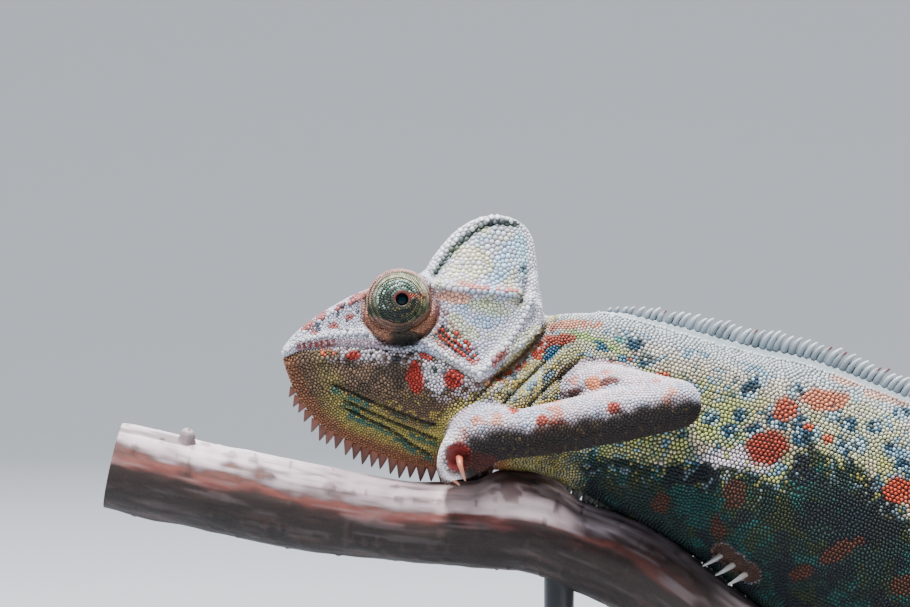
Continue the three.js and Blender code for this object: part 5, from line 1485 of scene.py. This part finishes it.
comb_line = band + [0, 1] * band_top[:, None]
spot, share, along, up = row_on(comb_line, 1.5, 0.01, 0.985, 21)
total = through([[0, 1], [.04, 2.4], [.08, 3.8], [.13, 4.8], [.25, 5.6], [.45, 5.5], [.7, 4.2], [.9, 2.6],
                 [1, 2]])(share)
height = total - np.interp(spot[:, 0], band[:, 0], band_top) + 0.5
height = height * random.uniform(0.86, 1.08, len(height))
half = 0.44 + 0.1 * height
spike_piece("comb_spikes", cones(spot - 0.5 * up, up, along, height, half, 0.72 * half, 0.42, SPIKE_SHAPE),
            "3c5261", "bcc5cc", trunk_axis, "pale_skin", "5e2c2c")
tail_flat = tail_line[:, [0, 2]]
spot, share, along, up = row_on(tail_flat, 1.7, 0.06, 0.62, 22)
size = np.interp(share * TAIL_STEPS, np.arange(TAIL_STEPS), tail_size)
height = 0.9 + 1.5 * (1 - share / 0.62)
half = 0.34 + 0.13 * height
spike_piece("tail_spikes", cones(spot + (size - 0.6)[:, None] * up, up, along, height, half, 0.8 * half, 0.3,
                                 SPIKE_SHAPE), "a9b894", "cfd3c0", tail_line, "flank_skin")
spot, share, along, up = row_on(throat_edge, 1.9, 0.09, 0.985, 23)
height = through([[0, 1.2], [.25, 2.2], [.5, 2.8], [.8, 2.6], [1, 2.2]])(share) + 0.4
height = height * random.uniform(0.8, 1.1, len(height))
half = 0.6 + 0.18 * height
hang = unit(-0.45 * up + [0, 0, -0.55])
forward = unit(along - hang * np.sum(along * hang, axis=1)[:, None])
spike_piece("beard_spikes", cones(spot - 0.4 * hang, hang, forward, height + 0.2, half, 0.7 * half, -0.06,
                                  THORN_SHAPE), "7a4630", "4c4548", throat_axis, "throat_skin")
spot, share, along, up = row_on(belly, 1.2, 0.02, 0.86, 24)
height = np.interp(spot[:, 0], [-36, -26, 8, 30], [3, 2.1, 1.8, 1.1]) + 0.35 * random.random(len(spot))
fringe = cones(spot + 0.4 * up, -up, along, height, 0.3 + 0.18 * height, 0.36 + 0 * height, 0.1, THORN_SHAPE)
spike_piece("belly_fringe", fringe, "4c524a", "8f918a", trunk_axis, "flank_skin")

# ---------------------------------------------------------------------------------------------------------
# The eyes. Each turret is a ball of fused lids with a round opening no wider than the pupil. Rings of tiny
# beads cover it, and folds run round it outside them. The glass eye sits behind the opening.
TURRET_STRETCH = 1.06
TURRET_SIDES = 120
LID = {"opening": 1.26, "margin": 1.64, "depth": 0.85}  # the opening's radius, its rim's, and its depth
RING_FORWARD = 0.65  # the folds' middle lies this far in front of the opening
GLASS = "051b22"


def eye_places(side, local):
    """Model places of [backwards, up, outwards] places on the left (-1) or right (1) eye."""
    out = unit(np.array([0.09, side, 0.08]))
    rear = unit(np.array([1, 0, 0]) - out * out[0])
    upward = unit(np.array([0, 0, 1]) - out * out[2] - rear * rear[2])
    middle = [snout[0] + EYE["back"], side * EYE["side"], snout[1] + EYE["up"]]
    return middle + local[..., :1] * rear + local[..., 1:2] * upward + local[..., 2:] * out


def on_turret(u, v, inset):
    """Places on the turret at u backwards and v up from its axis, pressed in by its folds."""
    ring = np.hypot(u + RING_FORWARD, v)
    gap = np.hypot(u, v)
    fold = -0.5 * bell(ring - 4.4, 0.3) - 0.25 * bell(ring - 5.1, 0.18) - 0.2 * bell(ring - 5.7, 0.14)
    fold = fold + 0.2 * bell(gap - LID["margin"], 0.35) - inset
    radius = EYE["radius"] + fold
    height = TURRET_STRETCH * np.sqrt(np.maximum(EYE["radius"] ** 2 - u**2 - v**2, 0))
    return np.stack([u, v, height], axis=-1) * (radius / EYE["radius"])[..., None]


def lid_colours(u, v, seed):
    """Mint above, dark green below, pale and olive folds outside, and a red-brown margin on top. The pale
    top and the dark underside and front are partly the turret's own colours and partly painted light and
    shade; the dark middle of the fold below it is painted shade.
    """
    points = np.stack([u, v, 0 * u], axis=-1)
    ring, gap = np.hypot(u + RING_FORWARD, v), np.hypot(u, v)
    bead = noise(points, 0.5, seed)
    shape = u.shape + (3,)
    arcs = np.cos((gap - 2.2) * 2 * np.pi / 0.87)
    lit = smooth_step(-1.6, 0.6, v - 0.25 * u)
    sag = v - np.interp(u, [-7.4, -3.5, -0.4, 3.3, 6.4], [-2.1, -4.1, -4.8, -3.9, -1.0])
    outer = layered(
        "4e5b38", shape, ("cdccb8", smooth_step(-2, 2.2, v)), ("27382c", smooth_step(-2.6, -4.6, v)),
        ("8f9a6a", 0.6 * (noise(points, 0.9, seed + 1) > 0.56)), ("2b2018", 0.85 * bell(gap - 5.75, 0.16)),
        ("b98f86", smooth_step(5.85, 6.05, gap) * smooth_step(-5, -1, v + 0.5 * u)))
    colours = layered(
        "1c382c", shape, ("7fa597", smooth_step(-0.6, 2.4, v + 0.9 * (bead - 0.5))),
        ("15251d", 0.85 * lit * smooth_step(0, -0.5, arcs)),
        ("d3ecdf", lit * smooth_step(0, 0.5, arcs) * (bead > 0.44)),
        ("7d7446", (bead > 0.58) * (smooth_step(0, -1.6, v) * smooth_step(4, 3, gap))),
        ("2d4a2e", smooth_step(-1.5, -3, u) * (bead < 0.45) * 0.7),
        (outer, smooth_step(4.3, 4.6, ring)),
        ("98705a", smooth_step(0.1, -0.3, sag)),
        ("3a3a2c", 0.85 * smooth_step(-0.2, -0.7, sag) * bell((u - 0.6) / 2.4, 1)),
        ("c49a8e", 0.8 * bell(sag, 0.2) * smooth_step(1.4, 3, np.abs(u - 0.4))),
        (np.where(bead[..., None] > 0.5, srgb("c08a52"), srgb("4a2320")),
         bell((u - 4.2) / 1.5, 1) * bell((v - 0.9) / 1.1, 1)),
        ("78382a", smooth_step(2.0, 1.75, gap) * smooth_step(-1.1, 0.1, v)),
        ("474030", smooth_step(1.95, 1.7, gap) * smooth_step(0.2, -0.9, v)),
        ("d4653a", 1.2 * bell(np.hypot((u - 2.3) / 0.75, (v - 0.8) / 0.38), 1)))
    return np.clip(1.1 * colours**1.3, 0, 1)


lid_resin = resin("lid_resin", 3000, 0.4, Coat_Weight=0.2, Coat_Roughness=0.2)
glass, _, glass_shader = material_of("glass_eye", 0.1, Specular_IOR_Level=0.16)
glass_shader.inputs["Base Color"].default_value = (*srgb(GLASS), 1)
for side, label in ((-1, "left"), (1, "right")):
    # The ball: rings out from the opening's edge over the front, then the plain back of the ball.
    tilt = np.linspace(np.arcsin(LID["opening"] / EYE["radius"]), np.pi / 2, 60)[:, None]
    turn = circle(TURRET_SIDES)[None]
    u, v = EYE["radius"] * np.sin(tilt) * np.cos(turn), EYE["radius"] * np.sin(tilt) * np.sin(turn)
    front = on_turret(u, v, 0.14)
    rim = front[0, :, 2].mean()
    hole = LID["opening"]
    pit = lathe([(hole - 0.4, rim - LID["depth"]), (hole + 0.16, rim - LID["depth"]),
                 (hole + 0.16, rim - 0.4), (hole + 0.04, rim - 0.12)], TURRET_SIDES)
    bends = np.linspace(1.7, 3.05, 10)
    rear = lathe(np.column_stack([EYE["radius"] * np.sin(bends), EYE["radius"] * np.cos(bends)]),
                 TURRET_SIDES)
    rings = np.concatenate([pit, front, rear])
    points, quads, fans = closed(rings if side > 0 else rings[:, ::-1])
    mesh = mesh_of(f"turret_{label}", eye_places(side, points), quads, fans)
    # Painted shade: the turret's shell shows in the gaps between its beads and is painted dark there, and
    # only a little darker round the opening.
    shell_painted_shade = np.where(np.hypot(*points[:, :2].T) > 1.8, 0.2, 0.85)[:, None]
    put_colours(mesh, lid_colours(points[:, 0], points[:, 1], 41) * shell_painted_shade)
    piece(f"turret_{label}", mesh, lid_resin, "turret_skin", f"eye_turret_{label}")

    # Its beads, in rings that follow the folds in front and circle the back of the ball.
    bead_u, bead_v, bead_pitch = [], [], []
    ring = 1.95
    row = 0
    while ring < 7.4:
        pitch = 0.5 if ring < 4.4 else 0.36
        lean = np.sqrt(np.maximum(1 - min(ring, 6.6) ** 2 / EYE["radius"] ** 2, 0.05))
        count = int(2 * np.pi * ring / pitch)
        shift = RING_FORWARD * smooth_step(1.8, 3.4, ring)
        spin = (np.arange(count) + 0.5 * (row % 2)) / count * 2 * np.pi
        bead_u.append(ring * np.cos(spin) - shift)
        bead_v.append(ring * np.sin(spin))
        bead_pitch.append(np.full(count, pitch))
        ring += HEX * pitch * (lean if ring > 4.4 else 1)
        row += 1
    u, v, beads = np.concatenate(bead_u), np.concatenate(bead_v), np.concatenate(bead_pitch)
    inside = np.hypot(u, v) < EYE["radius"] - 0.14
    u, v, beads = u[inside], v[inside], beads[inside]
    spot = on_turret(u, v, 0.12)
    nearby = [on_turret(u + 0.1, v, 0.12) - on_turret(u - 0.1, v, 0.12),
              on_turret(u, v + 0.1, 0.12) - on_turret(u, v - 0.1, 0.12)]
    outward = unit(spot + 0.6 * unit(np.cross(*nearby)) * EYE["radius"])
    for row, tilt in enumerate(np.arange(1.41, 2.5, 0.062)):
        count = int(2 * np.pi * EYE["radius"] * np.sin(tilt) / 0.46)
        spin = (np.arange(count) + 0.5 * (row % 2)) / count * 2 * np.pi
        ahead = np.cos(tilt) * (TURRET_STRETCH if tilt < np.pi / 2 else 1)
        way = np.column_stack([np.sin(tilt) * np.cos(spin), np.sin(tilt) * np.sin(spin),
                               np.full(count, ahead)])
        outward = np.vstack([outward, way])
        spot = np.vstack([spot, way * (EYE["radius"] - 0.06)])
        u, v = np.r_[u, 6.2 * way[:, 0] / np.sin(tilt)], np.r_[v, 6.2 * way[:, 1] / np.sin(tilt)]
        beads = np.r_[beads, np.full(count, 0.46)]
    off_axis = np.hypot(spot[:, 0], spot[:, 1])
    turned = np.arctan2(off_axis, spot[:, 2]) / 5.4
    opened_out = spot[:, :2] * (turned / off_axis)[:, None] + 0.5
    tips = eye_places(side, spot + outward)
    spot = eye_places(side, spot)
    points, faces = domes(spot, unit(tips - spot), beads, 0.42 * beads, 8, (0.6, 0.8), 0.88)
    mesh = mesh_of(f"scales_turret_{label}", points.reshape(-1, 3), faces)
    tint = lid_colours(u, v, 41) * (0.55 + 0.75 * random.random(len(u)))[:, None]
    # Each bead is painted lighter at its top and much darker at its rim: a painted highlight, and painted
    # shade in the gaps.
    dark = np.concatenate([[1.2], np.full(8, 1), np.full(8, 0.2)])
    put_colours(mesh, (tint[:, None] * dark[:, None]).reshape(-1, 3))
    put_bake_map(mesh, opened_out, points)
    piece(f"scales_turret_{label}", mesh, lid_resin, "turret_skin")

    dome = np.linspace(0.06, 1.2, 12)
    profile = [(0.3, rim - 1.3), (1.54, rim - 1.3)] + [(1.58 * np.sin(a) / np.sin(1.2), rim - 1.05 + 0.75 * (
        np.cos(a) - np.cos(1.2)) / (1 - np.cos(1.2))) for a in dome[::-1]]
    rings = lathe(profile, 48)
    points, quads, fans = closed(rings[:, ::-1] if side > 0 else rings)
    mesh = mesh_of(f"eyeball_{label}", eye_places(side, points), quads, fans)
    piece(f"eyeball_{label}", mesh, glass, "eye", f"eyeball_{label}")

# ---------------------------------------------------------------------------------------------------------
# The claws: curved points of horn, thick where they leave the toe and sharp at the tip. They are cast in
# painted resin and set into the toes' ends, hooked down towards the bark. The two outer ones of the left
# forefoot are reddish, and the others grey.
horn = resin("horn", 900, 0.3, Coat_Weight=0.3, Coat_Roughness=0.2)
for name, line in claw_axes:
    share = np.linspace(0, 1, len(line))
    if name == "forefoot_left_outer_claw_1":
        line = smooth_line([[-63.9, -15, 129], [-63.8, -16.8, 127.8], [-63.3, -17, 126.2],
                            [-62.8, -16.2, 124.6]], 14)
    points, quads, fans = closed(tube(line, 0.78 - 0.6 * share**1.1, 14))
    mesh = mesh_of(name, points, quads, fans)
    along = np.append(np.repeat(share, 14), [0, 1])
    base, tip = ("b8563c", "cf9078") if name.startswith("forefoot_left_outer") else ("6e655c", "b2b4b4")
    colours = srgb(base) + (srgb(tip) - srgb(base)) * along[:, None]
    put_colours(mesh, colours * (0.8 + 0.35 * rough(points, 1.2, 61))[:, None])
    piece(name, mesh, horn, "claw", name)
